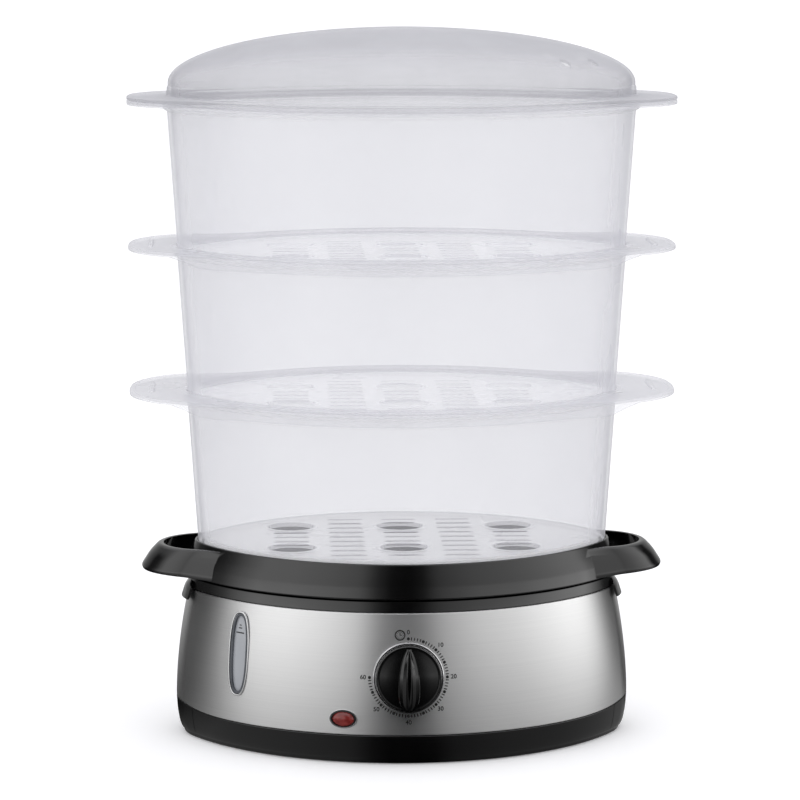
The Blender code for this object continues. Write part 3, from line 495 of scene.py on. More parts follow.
def finish(name, colours, roughness, grain, blotch, bump, **sockets):
    """A material whose colour wanders between two tones with broad noise, whose roughness
    follows the same noise, and whose surface has a fine grain. grain and blotch are noise
    scales, and bump is how deep the grain is, in metres."""
    made = bpy.data.materials.new(name)
    made.use_nodes = True
    tree = made.node_tree
    shader = tree.nodes["Principled BSDF"]
    broad = noise(tree, blotch)
    fine = noise(tree, grain, 2.0)
    tones = ramp(tree, broad, list(zip(NOISE_SPAN, colours)))
    tree.links.new(tones, shader.inputs["Base Color"])
    tree.links.new(span(tree, broad, *NOISE_SPAN, *roughness), shader.inputs["Roughness"])
    bumped = node(tree, "ShaderNodeBump", Height=fine, Distance=bump, Strength=1.0)
    tree.links.new(bumped.outputs["Normal"], shader.inputs["Normal"])
    for socket, value in sockets.items():
        shader.inputs[socket.replace("_", " ")].default_value = value
    return made


def brushed_steel():
    """Steel brushed along the band: long horizontal scratches over faint broader streaks."""
    made = finish(
        "brushed_steel",
        ((0.91, 0.91, 0.91), (0.96, 0.96, 0.955)),
        (0.33, 0.37),
        grain=(20, 20, 6500),
        blotch=(9, 9, 3400),
        bump=0.0000009,
        Metallic=1.0,
        Anisotropic=0.85,
        Anisotropic_Rotation=0.25,
    )
    tree = made.node_tree
    around_axis = node(tree, "ShaderNodeTangent", {"direction_type": "RADIAL", "axis": "Z"})
    shader = tree.nodes["Principled BSDF"]
    tree.links.new(around_axis.outputs["Tangent"], shader.inputs["Tangent"])
    return made


def clear_plastic(name, tones, facing_alpha, grazing_alpha, painted_glow=0.0, roughness=(0.24, 0.36)):
    """Milky translucent plastic: a thin veil face on, and denser where the wall turns away.
    The painted glow is painted light: an even emission that lifts the plastic out of its shade,
    standing in for light that the plastic scatters inside itself."""
    made = finish(
        name,
        tones,
        roughness,
        grain=260,
        blotch=(26, 26, 9),
        bump=0.00003,
        Emission_Color=(1.0, 1.0, 1.0, 1.0),
        Emission_Strength=painted_glow,
    )
    tree = made.node_tree
    facing = node(tree, "ShaderNodeLayerWeight", Blend=0.5).outputs["Facing"]
    alpha = ramp(
        tree,
        facing,
        [
            (0.0, facing_alpha),
            (0.55, facing_alpha * 1.35),
            (0.85, grazing_alpha * 0.7),
            (1.0, grazing_alpha),
        ],
    )
    tree.links.new(alpha, tree.nodes["Principled BSDF"].inputs["Alpha"])
    return made


METAL = {"Metallic": 1.0}

# Each finish: its two tones, its roughness, the scales of its grain and blotches, the depth of
# its grain in metres, and any other sockets
FINISHES = {
    "black_gloss": (
        ((0.0008, 0.0008, 0.0009), (0.0015, 0.0015, 0.0017)), (0.09, 0.16), 900, 38, 0.000003,
        {"Specular_IOR_Level": 1.0},
    ),
    "black_matte": (
        ((0.010, 0.010, 0.011), (0.017, 0.017, 0.018)), (0.38, 0.52), 1400, 45, 0.00002, {},
    ),
    "chrome": (
        ((0.74, 0.74, 0.75), (0.80, 0.80, 0.81)), (0.10, 0.18), 1200, 90, 0.000004, METAL,
    ),
    "zinc": (
        ((0.40, 0.40, 0.41), (0.55, 0.55, 0.56)), (0.30, 0.46), 1500, 160, 0.00001, METAL,
    ),
    "cast_aluminium": (
        ((0.50, 0.50, 0.49), (0.62, 0.62, 0.61)), (0.36, 0.52), 1700, 120, 0.00003, METAL,
    ),
    "brass": (
        ((0.50, 0.35, 0.13), (0.66, 0.49, 0.20)), (0.26, 0.40), 1300, 140, 0.000008, METAL,
    ),
    "rubber": (
        ((0.013, 0.013, 0.013), (0.024, 0.024, 0.023)), (0.68, 0.84), 1900, 110, 0.00003, {},
    ),
    "white_plastic": (
        ((0.66, 0.66, 0.63), (0.75, 0.75, 0.72)), (0.38, 0.50), 1100, 70, 0.00002, {},
    ),
    "wire_jacket": (
        ((0.55, 0.53, 0.47), (0.68, 0.66, 0.60)), (0.45, 0.60), 1500, 120, 0.00003, {},
    ),
    "red_lens": (
        ((0.11, 0.009, 0.008), (0.24, 0.030, 0.026)), (0.08, 0.18), 700, 420, 0.00004,
        {"Coat_Weight": 0.6, "Coat_Roughness": 0.06},
    ),
    "neon_glass": (
        ((0.45, 0.20, 0.12), (0.60, 0.30, 0.18)), (0.06, 0.14), 900, 300, 0.000006, {},
    ),
    "gauge_pane": (
        ((0.36, 0.375, 0.40), (0.44, 0.455, 0.48)), (0.10, 0.20), 900, (60, 60, 28), 0.000008,
        {"Coat_Weight": 0.7, "Coat_Roughness": 0.08},
    ),
    "gauge_wall": (
        ((0.055, 0.060, 0.070), (0.105, 0.112, 0.125)), (0.14, 0.24), 900, 90, 0.000008, {},
    ),
    "print": (
        ((0.006, 0.006, 0.006), (0.014, 0.014, 0.014)), (0.45, 0.60), 4000, 900, 0.000004, {},
    ),
}

LOOKS = {
    name: finish(name, tones, roughness, grain, blotch, bump, **sockets)
    for name, (tones, roughness, grain, blotch, bump, sockets) in FINISHES.items()
}
LOOKS["steel"] = brushed_steel()
LOOKS["clear_tray"] = clear_plastic(
    "clear_tray", ((0.77, 0.77, 0.81), (0.82, 0.82, 0.855)), 0.21, 0.88
)
# The tray floors: the same plastic in lighter tones with a painted glow. This painted light lifts
# the floors out of the shade of the tiers above.
LOOKS["clear_floor_painted_light"] = clear_plastic(
    "clear_floor_painted_light", ((0.93, 0.93, 0.95), (0.96, 0.96, 0.975)), 0.48, 0.90, painted_glow=0.22
)
LOOKS["clear_lid"] = clear_plastic(
    "clear_lid", ((0.53, 0.53, 0.56), (0.59, 0.59, 0.62)), 0.23, 0.92, roughness=(0.50, 0.60)
)


def add_piece(obj, body, look, replaced=(), sharp=32.0):
    """Shades a piece, weights its normals, gives it its material and files it on its body."""
    obj.data.transform(shift(0, 0, STAND))
    obj.data.materials.clear()
    obj.data.materials.append(LOOKS[look])
    obj.data.shade_smooth()
    obj.data.set_sharp_from_angle(angle=radians(sharp))
    weighted = obj.modifiers.new("weighted", "WEIGHTED_NORMAL")
    weighted.keep_sharp = True
    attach(obj, body)
    if replaced:
        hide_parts(*replaced)
    return obj


# -------- the base


def panel_cutters(depth):
    """The openings for gauge, lamp, timer shaft, timer screws and cord gland."""
    knob = panel_frame(0.0, KNOB_Z)
    out = 4.0
    size = (GAUGE_HALF_WIDTH + GAP, GAUGE_HALF_HEIGHT + GAP)
    gauge = [long_oval(*size, z) for z in (-depth, out)]
    lamp = panel_frame(LAMP_X, LAMP_Z)
    cutters = [
        moved(loft(gauge), panel_frame(GAUGE_X, GAUGE_Z)),
        cylinder(LAMP_RADIUS + 0.4, -depth, out, lamp, 40, LAMP_STRETCH),
        cylinder(4.5, -depth, out, knob, 32),
        cylinder(6.2, -depth, out, panel_frame(0.0, GLAND_Z, rear=True), 32),
    ]
    for side in (-1, 1):
        place = knob @ shift(side * 11, 0)
        cutters.append(cylinder(1.9, -depth, out, place, 16))
    return cutters


def make_base_cover():
    top = band_size(BAND_FOOT_Z)
    z_top = BAND_FOOT_Z - GAP
    rings = [
        (top, -9.0, COVER_UNDERSIDE_Z, 0),
        (top, -8.4, LIP_Z, 0.5), (top, -4.4, LIP_Z, 0.8), (top, -3.8, 0.2, 0.3),
        (top, -2.9, 0.8, 0.5), (top, -1.7, 3.6, 2.0),
        (top, -0.5, 9.0, 3.0, 1.5),
        (top, 0.0, z_top, 0.5, FOOT_RISE),
        (top, -3.4, z_top, 0.4, FOOT_RISE),
        (top, -4.0, 9.5, 0.8),
        (top, -6.5, COVER_FLOOR_Z, 0),
    ]
    cover = mesh_object("base_cover_shell", loft(softened(ovals(rings))))
    holes = []
    for x, y in corners(BOSS_X, BOSS_Y):
        holes.append(cylinder(1.9, 0, 10, shift(x, y), 24))
    for side in (-1, 1):
        seam = shift(side * SEAM_X, SEAM_Y, COVER_FLOOR_Z) @ spin(side * SEAM_TURN)
        holes.append(box((0.45, 6.0, 30.0), seam))
    combine(cover, holes, "DIFFERENCE")
    add_piece(cover, "base", "black_gloss", ["base_cover"])


def make_steel_band():
    shares = [k / BAND_STEPS for k in range(BAND_STEPS + 1)]
    rings = [(band_ring(share, 0.0), 0.6 if share in (0, 1) else 0) for share in shares]
    rings += [(band_ring(share, -BAND_THICKNESS), 0) for share in reversed(shares)]
    band = mesh_object("steel_band_brushed", closed(rings))
    combine(band, panel_cutters(8), "DIFFERENCE")
    add_piece(band, "base", "steel", ["steel_band"])


def make_body_shell():
    inner = BAND_THICKNESS + GAP
    rim_low = BAND_TOP_Z + GAP
    rim = band_size(BAND_TOP_Z)
    seat = -6.0
    deep = inner + SHELL_THICKNESS
    foot = BAND_FOOT_Z + GAP
    rows = [(band_size(foot), -inner, foot, 0, FOOT_RISE)]
    rows += [(band_size(z), -inner, z, 0) for z in (28, 40, 51, 62, 78)]
    rows += [
        (rim, -inner, rim_low, 0),
        (rim, -0.2, rim_low, 0.4),
        (rim, -0.9, RIM_TOP_Z - 1.2, 0.6),
        (rim, -3.0, RIM_TOP_Z - 0.9, 0.2),
        (rim, -3.0, RIM_TOP_Z, 0.2),
        (rim, seat, RIM_TOP_Z, 0.6),
        (rim, seat, 83.0, 0),
        (rim, -deep, 81.0, 0),
    ]
    rows += [(band_size(z), -deep, z, 0) for z in (62, 51, 40, 28)]
    rows.append((band_size(foot), -deep, foot, 0, FOOT_RISE))
    shell = mesh_object("body_shell_rim", closed(ovals(rows)))
    combine(shell, panel_cutters(12), "DIFFERENCE")
    combine(shell, [grip_lug(side) for side in (-1, 1)], "UNION")
    add_piece(shell, "base", "black_gloss", ["body_shell"])


def grip_lug(side):
    """A short lip that flares down and out from the rim's end, for lifting the base."""
    half_angle, steps = radians(24), 20
    rim = band_size(BAND_TOP_Z)[0]
    radius = end_radius(rim)
    centre = rim - radius
    section = (
        (-2.4, 85.4, 0.3), (-2.4, 81.6, 0.3), (0.9, 81.2, 1.2), (3.0, 75.2, 0.25),
        (4.2, 75.2, 0.35), (2.1, 81.8, 2.0), (-0.9, 85.4, 0.6),
    )
    rings = []
    for reach, z, soft in section:
        points = []
        for k in range(steps + 1):
            angle = half_angle * (2 * k / steps - 1)
            r = radius + reach
            x = side * (centre + r * cos(angle))
            points.append(point(x, r * sin(angle), z))
        rings.append((points, soft))
    lines = softened(rings, cyclic=True)
    return loft([[line[k] for line in lines] for k in range(steps + 1)])


def make_water_tank():
    """The tank hangs by its deck from the body's rim, with a side duct to the gauge and
    bosses under its floor."""
    deck = band_size(BAND_TOP_Z)
    size = (TANK_HALF_WIDTH, TANK_HALF_DEPTH)
    floor = TANK_FLOOR_Z - TANK_WALL
    rings = ovals(
        [
            (size, -6.0, floor, 3.0),
            (size, 0.0, TANK_DECK_Z - TANK_WALL, 3.0),
            (deck, -8.5, 83.0, 1.5),
            (deck, -6.5, 86.5, 0.6),
            (deck, -9.0, 86.5, 0.8),
            (size, -TANK_WALL, TANK_DECK_Z, 4.0),
            (size, -8.0, TANK_FLOOR_Z, 5.0),
        ]
    )
    rings.insert(0, (circle_ring(HEATER_HOLE_RADIUS, floor, size), 0))
    rings.append((circle_ring(HEATER_HOLE_RADIUS, TANK_FLOOR_Z, size), 0))
    tank = mesh_object("water_tank_inside", closed(rings))
    gauge = panel_frame(GAUGE_X, GAUGE_Z)
    bosses = [box((14, 40, 26), gauge @ shift(0, 0, -19))]
    duct = [box((10, 34, 34), gauge @ shift(0, 0, -17))]
    for x, y in corners(BOSS_X, BOSS_Y):
        place = shift(x, y)
        bosses.append(cylinder(4.0, COVER_FLOOR_Z + GAP, 35, place, 24))
        duct.append(cylinder(1.8, 0, 20, place, 16))
    for degrees in (90, 210, 330):
        place = shift(*around(HEATER_SCREW_RADIUS, degrees))
        bosses.append(cylinder(3.6, 28.6, 35, place, 24))
        duct.append(cylinder(1.4, 0, 33, place, 16))
    combine(tank, bosses, "UNION")
    combine(tank, duct, "DIFFERENCE")
    add_piece(tank, "base", "black_matte", ["water_tank"])


def make_heater():
    """The heater plate, with two shallow steps, and the open sleeve round it."""
    plate = turned(
        [
            (31, 28.7, 0), (31, 30.9, 0.4), (24, 30.9, 0.6), (24, 38, 1.6),
            (22, 39.5, 1.0), (17, 39.5, 0.3), (16.4, 39.1, 0.3), (9, 39.1, 0.3),
            (8.4, 39.4, 0.3), (0.4, 39.4, 0),
        ]
    )
    obj = mesh_object("heater_plate_cast", plate)
    add_piece(obj, "base", "cast_aluminium", ["heater_plate"])
    low = TANK_FLOOR_Z + GAP
    sleeve = turned([(34, 72, 0.6), (36, low, 0.3), (34, low, 0.3), (32, 72, 0.6), (34, 72, 0.6)])
    obj = mesh_object("turbo_ring_sleeve", sleeve)
    arches = []
    for k in range(4):
        place = spin(pi / 4 + pi / 2 * k) @ shift(35, 0, TANK_FLOOR_Z)
        arches.append(cylinder(6.8, -6, 6, place @ spin(pi / 2, "Y"), 32))
    combine(obj, arches, "DIFFERENCE")
    add_piece(obj, "base", "white_plastic", ["turbo_ring"])


# -------- the front panel


def grip_half_width(t):
    """Half width of the knob's grip along its length: pointed at the tip, round at the heel."""
    fullest = 0.66
    if t < fullest:
        return max(GRIP_HALF_WIDTH * sin(pi / 2 * t / fullest) ** 0.55, 1.3)
    return GRIP_HALF_WIDTH * (1 - ((t - fullest) / (1.02 - fullest)) ** 3) ** 0.45


def knob_grip():
    """A leaf-shaped ridge with bevelled edges and two crests that part along the middle."""
    sections = []
    steps = 40
    for k in range(steps + 1):
        t = k / steps
        y = GRIP_TIP_Y - GRIP_LENGTH * t
        half = grip_half_width(t)
        swell = sin(pi * min(0.12 + 0.86 * t, 0.97)) ** 0.45
        crown = 6.0 + 8.0 * swell
        edge = 6.0 + 4.6 * swell
        groove = 1.1 * sin(pi * t) ** 0.5
        side = [
            (1.0, 4.0), (0.985, edge), (0.93, edge + 0.45), (0.86, edge + 0.5),
            (0.62, edge + 0.3 * (crown - edge)), (0.42, edge + 0.72 * (crown - edge)),
            (0.30, crown - 0.1), (0.20, crown), (0.12, crown - 0.35 * groove),
            (0.0, crown - groove),
        ]
        right = [point(half * share, y, z) for share, z in side]
        left = [Vector((-p.x, p.y, p.z)) for p in reversed(right[:-1])]
        sections.append(right + left)
    return loft(sections)


def make_knob():
    place = panel_frame(0.0, KNOB_Z)
    r = KNOB_RADIUS
    disc = turned(
        [
            (r, 2.4, 0), (r, 4.9, 0.25), (r - 0.5, 5.3, 0.15), (r - 0.9, 5.3, 0.15),
            (r - 1.2, 4.9, 0.2), (r - 1.8, 4.9, 0.4), (r - 8.0, 5.9, 4.0), (1.0, 6.4, 0),
        ],
        steps=96,
    )
    knob = mesh_object("knob_black", disc)
    combine(knob, [knob_grip()], "UNION")
    scoop = turned([(0.2, 11.2, 0), (1.2, 11.6, 0.6), (1.9, 15.0, 0)], steps=32)
    combine(knob, [moved(scoop, shift(0, -12.8))], "DIFFERENCE")
    combine(knob, [cylinder(SHAFT_RADIUS + GAP, 0, 11, steps=32)], "DIFFERENCE")
    knob.data.transform(place)
    add_piece(knob, "knob", "black_gloss", ["knob"], sharp=28)
    b = BEZEL_RADIUS
    bezel = turned(
        [
            (b - 0.5, 1.7, 0.3), (b, 1.1, 0.3), (b, 0.3, 0), (b - 1.2, 0.3, 0),
            (b - 1.2, 1.2, 0.3), (b - 0.5, 1.7, 0.3),
        ],
        place,
        steps=96,
    )
    obj = mesh_object("knob_bezel_ring", bezel)
    add_piece(obj, "base", "chrome", ["knob_bezel"])


def dial_place(angle, radius):
    """A frame on the panel at a clockwise angle from the knob's top, its Y axis upwards."""
    up = radius * cos(angle) * cos(DIAL_LEAN)
    return panel_frame(radius * sin(angle), KNOB_Z + up)


def lettering(text, height, matrix):
    """Raised printing of a number, centred on the frame."""
    curve = bpy.data.curves.new("lettering", "FONT")
    curve.body = text
    curve.size = height * MM
    curve.align_x = "CENTER"
    curve.align_y = "CENTER"
    curve.extrude = PRINT_HALF * MM
    curve.offset = 0.075 * MM
    curve.resolution_u = 4
    obj = linked("lettering", curve)
    graph = bpy.context.evaluated_depsgraph_get()
    mesh = bpy.data.meshes.new_from_object(obj.evaluated_get(graph))
    bm = bmesh.new()
    bm.from_mesh(mesh)
    bpy.data.objects.remove(obj)
    bpy.data.meshes.remove(mesh)
    return moved(bm, matrix)


def make_dial():
    """Minute marks, a larger dot every fifth one, numbers every tenth, and a clock sign."""
    marks = []
    for minute in range(DIAL_MINUTES + 1):
        angle = DIAL_SWEEP * minute / DIAL_MINUTES
        place = dial_place(angle, DIAL_DOT_RADIUS) @ spin(-angle)
        if minute % 5 == 0:
            marks.append(cylinder(0.85, -PRINT_HALF, PRINT_HALF, place, 20))
        else:
            marks.append(capsule_block(0.29, 0.9, -PRINT_HALF, PRINT_HALF, place, 4))
        if minute % 10 == 0:
            at = dial_place(angle, DIAL_NUMERAL_RADIUS)
            marks.append(lettering(str(minute), 3.3, at))
    clock = dial_place(CLOCK_ANGLE, CLOCK_RADIUS)
    marks.append(turned(collar(2.9, 2.25, -PRINT_HALF, PRINT_HALF, 0), clock, 40))
    for hour in range(12):
        marks.append(box((0.26, 0.5, 0.1), clock @ spin(pi / 6 * hour) @ shift(0, 1.8)))
    for degrees, length in ((0, 1.5), (-90, 1.1)):
        place = clock @ spin(radians(degrees)) @ shift(0, length / 2)
        marks.append(box((0.36, length, 0.1), place))
    obj = mesh_object("dial_printing", joined(marks))
    add_piece(obj, "base", "print")


def oval_trim(name, wide, narrow, low, high, matrix, soft=0.2):
    """A rounded frame round the gauge's opening: grown by wide outside, narrow inside."""
    rings = []
    for grow, z in ((wide, low), (wide, high), (narrow, high), (narrow, low)):
        points = long_oval(GAUGE_HALF_WIDTH + grow, GAUGE_HALF_HEIGHT + grow, z)
        rings.append((points, soft))
    return mesh_object(name, moved(closed(rings), matrix))


def make_gauge():
    """The water gauge: a window set behind the steel, its moulded wall, and a level line."""
    place = panel_frame(GAUGE_X, GAUGE_Z)
    trim = oval_trim("gauge_trim", 1.0, 0.05, -0.3, 0.32, place, 0.28)
    add_piece(trim, "base", "chrome")
    wall = oval_trim("gauge_wall", -0.05, -1.5, -2.5, -0.1, place, 0.25)
    add_piece(wall, "base", "gauge_wall")
    half_width, half_height = GAUGE_HALF_WIDTH - 0.1, GAUGE_HALF_HEIGHT - 0.1
    rings = [
        (long_oval(half_width, half_height, -2.6), 0.0),
        (long_oval(half_width, half_height, -1.5), 0.3),
        (long_oval(half_width - 2.0, half_height - 2.0, -1.1), 0.6),
        (long_oval(half_width - 3.4, half_height - 3.4, -1.0), 0.0),
    ]
    pane = mesh_object("gauge_window", moved(loft(softened(rings)), place))
    add_piece(pane, "base", "gauge_pane", ["gauge_lens"])
    bars = []
    for rise, width, thick in ((0, 5.6, 0.6), (2.6, 2.4, 0.5), (4.2, 1.4, 0.5)):
        bars.append(box((width, thick, 0.2), place @ shift(LEVEL_X, LEVEL_Y + rise, -1.0)))
    obj = mesh_object("gauge_level_line", joined(bars))
    add_piece(obj, "base", "print")


def make_lamp():
    """The indicator: a faceted oval lens, the dark collar it sits in, and a thin steel edge."""
    place = panel_frame(LAMP_X, LAMP_Z)
    sides = 16
    rings = []
    for number, (radius, z) in enumerate(
        ((4.05, -3.0), (4.05, 0.3), (3.55, 1.15), (2.7, 1.75), (1.5, 2.2), (0.3, 2.4))
    ):
        twist = pi / sides * (number % 2 if number > 1 else 0)
        rings.append(circle(radius, z, sides, LAMP_STRETCH, twist))
    lens = loft(rings)
    bmesh.ops.triangulate(lens, faces=lens.faces)
    lens = mesh_object("indicator_lens_faceted", moved(lens, place))
    add_piece(lens, "base", "red_lens", ["indicator_lens"], sharp=4)
    for name, outer, inner, low, high, soft, slot, look in (
        ("indicator_collar", 4.5, 4.1, -2.0, 0.7, 0.18, "black_matte_plastic", "black_gloss"),
        ("indicator_edge", 5.2, 4.75, -0.2, 0.2, 0.12, "steel", "chrome"),
    ):
        section = collar(outer, inner, low, high, soft)
        obj = mesh_object(name, turned(section, place, 56, LAMP_STRETCH))
        add_piece(obj, "base", look)


def make_gland():
    profile = [
        (3.5, 2.4, 0.4), (7.5, 1.8, 0.6), (7.8, 0.3, 0.2), (5.7, 0.3, 0),
        (5.7, -7.0, 0), (3.5, -7.0, 0), (3.5, 2.4, 0.4),
    ]
    obj = mesh_object("cord_gland_rear", turned(profile, panel_frame(0.0, GLAND_Z, rear=True)))
    add_piece(obj, "base", "black_matte", ["cord_gland"])


# -------- the drip tray


def collar_size(z):
    """Half width and half depth of the collar's outer face at a height."""
    low, high = (COLLAR_LOW_SIZE, COLLAR_LOW_Z), (COLLAR_MID_SIZE, COLLAR_MID_Z)
    if z > COLLAR_MID_Z:
        low, high = high, (COLLAR_TOP_SIZE, COLLAR_TOP_Z)
    share = (z - low[1]) / (high[1] - low[1])
    return [a + (b - a) * share for a, b in zip(low[0], high[0])]


def handle_path(reach, inset, z, drop):
    """One edge of a handle, from its front root inside the collar's wall, round the grip, to
    its rear root. The edge hangs lower by drop at the roots."""
    radius = HANDLE_RADIUS - inset
    half_width, half_depth = collar_size(z - drop)
    wide = side_radius(half_width, half_depth)
    root_y = HANDLE_ROOT_Y - 0.25 * inset
    depth_in = 0.9 + 0.2 * inset
    root_x = sqrt((wide - depth_in) ** 2 - (root_y + wide - half_depth) ** 2)
    points = [(root_x, -root_y)]
    for k in range(HANDLE_STEPS + 1):
        angle = radians(80) * (2 * k / HANDLE_STEPS - 1)
        across = radius * cos(angle)
        points.append((reach - HANDLE_RADIUS + across, radius * sin(angle)))
    points.append((root_x, root_y))
    span = reach - inset - root_x
    return [(x, y, z - drop * (1 - (x - root_x) / span) ** 2) for x, y in points]


def handle_band(side):
    """One carrying handle: a wall that leaves the collar, runs round and comes back. It leans
    out and bulges towards its foot."""
    low = HANDLE_LOW_Z
    edges = [
        (handle_path(136.4, 0.0, HANDLE_TOP_Z, 0.0), 1.8),
        (handle_path(141.2, 0.0, 100.5, 0.0), 2.5),
        (handle_path(146.0, 0.0, low + 2.0, HANDLE_ROOT_DROP), 1.6),
        (handle_path(145.2, 0.0, low, HANDLE_ROOT_DROP), 0.5),
        (handle_path(144.8, HANDLE_WALL, low, HANDLE_ROOT_DROP), 0.5),
        (handle_path(136.4, HANDLE_WALL, HANDLE_TOP_Z, 0.0), 0.5),
    ]
    rings = [([point(side * x, y, z) for x, y, z in path], soft) for path, soft in edges]
    lines = softened(rings, cyclic=True)
    count = len(lines[0])
    return loft([[line[k] for line in lines] for k in range(count)])


def make_drip_tray():
    low_size, mid, top_size = COLLAR_LOW_SIZE, COLLAR_MID_SIZE, COLLAR_TOP_SIZE
    seat = (111.0, 79.0)
    floor_size = (108.5, 76.5)
    chimney = (34.0, 26.0)
    ledge = TRAY_BOTTOM_Z + 0.5
    under = DRIP_FLOOR_Z - COLLAR_WALL
    rings = [
        (chimney, 0.0, under, 0.5),
        (floor_size, COLLAR_WALL, under, 1.0),
        (seat, COLLAR_WALL, ledge - COLLAR_WALL, 0.8),
        (mid, -COLLAR_WALL, 97.0, 1.5),
        (low_size, -COLLAR_WALL, COLLAR_LOW_Z, 0.3),
        (low_size, 0.0, COLLAR_LOW_Z, 0.7),
        (mid, 0.0, COLLAR_MID_Z, 3.5),
        (top_size, 0.0, COLLAR_TOP_Z, 0.7),
        (top_size, -1.2, COLLAR_TOP_Z, 0.3),
        (top_size, -1.4, ledge, 0.3),
        (seat, 0.0, ledge, 0.6),
        (floor_size, 0.0, DRIP_FLOOR_Z, 2.5),
        (chimney, 3.0, DRIP_FLOOR_Z, 1.5),
        (chimney, 1.0, CHIMNEY_TOP_Z, 0.6),
        (chimney, -1.0, CHIMNEY_TOP_Z, 0.6),
    ]
    tray = mesh_object("drip_tray_collar", closed(ovals(rings)))
    combine(tray, [handle_band(1), handle_band(-1)], "UNION")
    add_piece(tray, "drip_tray", "black_gloss", ["drip_tray"])


# -------- trays and lid


def lobe_reach(cosine, sine):
    """How far a lobe's edge lies from the axis in one direction, found by halving."""
    near, far = 0.0, LOBE_CENTRE + LOBE_REACH
    for _ in range(30):
        middle = (near + far) / 2
        across = max(middle * cosine - LOBE_CENTRE, 0.0) / LOBE_REACH
        along = middle * sine / LOBE_HALF_WIDTH
        if across**LOBE_SQUARENESS + along**LOBE_SQUARENESS < 1:
            near = middle
        else:
            far = middle
    return near


def flange_outline(index):
    """The plan of a tray's flange: an oval with a broad carrying lobe at each end."""
    outline = []
    for x, y in oval(FLANGE_HALF_WIDTH, FLANGE_HALF_DEPTHS[index]):
        reach = hypot(x, y)
        lobe = lobe_reach(abs(x) / reach, abs(y) / reach)
        blended = (reach**LOBE_BLEND + lobe**LOBE_BLEND) ** (1 / LOBE_BLEND)
        blended = min(blended, LOBE_CENTRE + LOBE_REACH)
        outline.append((x * blended / reach, y * blended / reach))
    return outline


OUTLINES = [flange_outline(index) for index in range(3)]


def flange_ring(index, inset, z_side, z_lobe):
    """The flange's outline moved in by inset, at one height along the sides and another
    on the lobes."""
    points = []
    for x, y in OUTLINES[index]:
        reach = hypot(x, y)
        share = min(max((abs(x) - LOBE_START) / (LOBE_FULL - LOBE_START), 0.0), 1.0)
        share = share * share * (3 - 2 * share)
        scale = (reach - inset) / reach
        points.append(point(x * scale, y * scale, z_side + (z_lobe - z_side) * share))
    return points


def tray_rings(index):
    """The tray's surface from the middle of its underside, up the outside, over the flange
    and down the inside to the floor. The lower two have a bead round the next tray's seat."""
    low = TRAY_BOTTOM_Z + index * TRAY_PITCH
    top = low + TRAY_HEIGHT
    ledge = top - LEDGE_DEPTH
    foot = (TRAY_HALF_WIDTH + index * TRAY_GROWTH, TRAY_HALF_DEPTH + index * TRAY_GROWTH)
    wall_top = TRAY_TAPER * (ledge - low - TRAY_CORNER)
    recess = TRAY_GROWTH + 0.8
    under = top - TRAY_WALL
    skirt = top - SKIRT_DEPTHS[index]
    lobe = top - LOBE_SINKS[index]
    lobe_skirt = lobe - TRAY_WALL - 0.6
    rows = [
        (foot, -TRAY_CORNER - 9.0, low, 0),
        (foot, 0.0, low, 5.0),
        (foot, 0.35, low + TRAY_CORNER, 0),
        (foot, wall_top, ledge - TRAY_WALL, 0.8),
        (foot, recess + TRAY_WALL, ledge - 0.5, 0.8),
        (foot, recess + TRAY_WALL, under, 0.6),
    ]
    rings = ovals(rows) + [
        (flange_ring(index, TRAY_WALL, under, lobe - TRAY_WALL), 0.6),
        (flange_ring(index, TRAY_WALL, skirt, lobe_skirt), 0.4),
        (flange_ring(index, 0.0, skirt, lobe_skirt), 0.5),
        (flange_ring(index, 0.0, top, lobe), 1.1),
    ]
    if index < 2:
        rings += [
            (flange_ring(index, 2.6, top, lobe), 0.4),
            (flange_ring(index, 3.2, top - 0.35, lobe - 0.35), 0.4),
        ]
        bead = ((3.4, -0.35, 0.5), (2.4, 0.2, 0.6), (0.4, 0.2, 0.5))
        rings += ovals((foot, recess + out, top + up, soft) for out, up, soft in bead)
    rows = [
        (foot, recess, top - 0.8, 0.4),
        (foot, recess, ledge, 0.5),
        (foot, wall_top - TRAY_WALL, ledge, 0.8),
        (foot, 0.35 - TRAY_WALL, low + TRAY_CORNER + TRAY_FLOOR, 0),
        (foot, -TRAY_WALL, low + TRAY_FLOOR, 4.5),
        (foot, -TRAY_CORNER - 9.0, low + TRAY_FLOOR, 0),
    ]
    return softened(rings + ovals(rows))


def inside_oval(x, y, half_width, half_depth):
    wide = side_radius(half_width, half_depth)
    return hypot(x, abs(y) + wide - half_depth) < wide and abs(x) < half_width * 0.9


def egg_seats():
    return [(x, y) for x in EGG_COLUMNS for y in EGG_ROWS]


def floor_slots():
    """Centres of the steam slots: rows of them wherever they clear the seats and the wall."""
    clear_x = EGG_HOLE_RADIUS + SLOT_LENGTH / 2 + 2.0
    clear_y = EGG_HOLE_RADIUS + SLOT_WIDTH / 2 + 2.0
    places = []
    for column in range(-3, 4):
        for row in range(-4, 5):
            x, y = column * SLOT_PITCH_X, row * SLOT_PITCH_Y
            reach = abs(x) + SLOT_LENGTH / 2
            blocked = any(
                abs(x - seat_x) < clear_x and abs(y - seat_y) < clear_y
                for seat_x, seat_y in egg_seats()
            )
            inside = inside_oval(reach, y, TRAY_HALF_WIDTH - 9, TRAY_HALF_DEPTH - 9)
            if inside and not blocked:
                places.append((x, y))
    return places


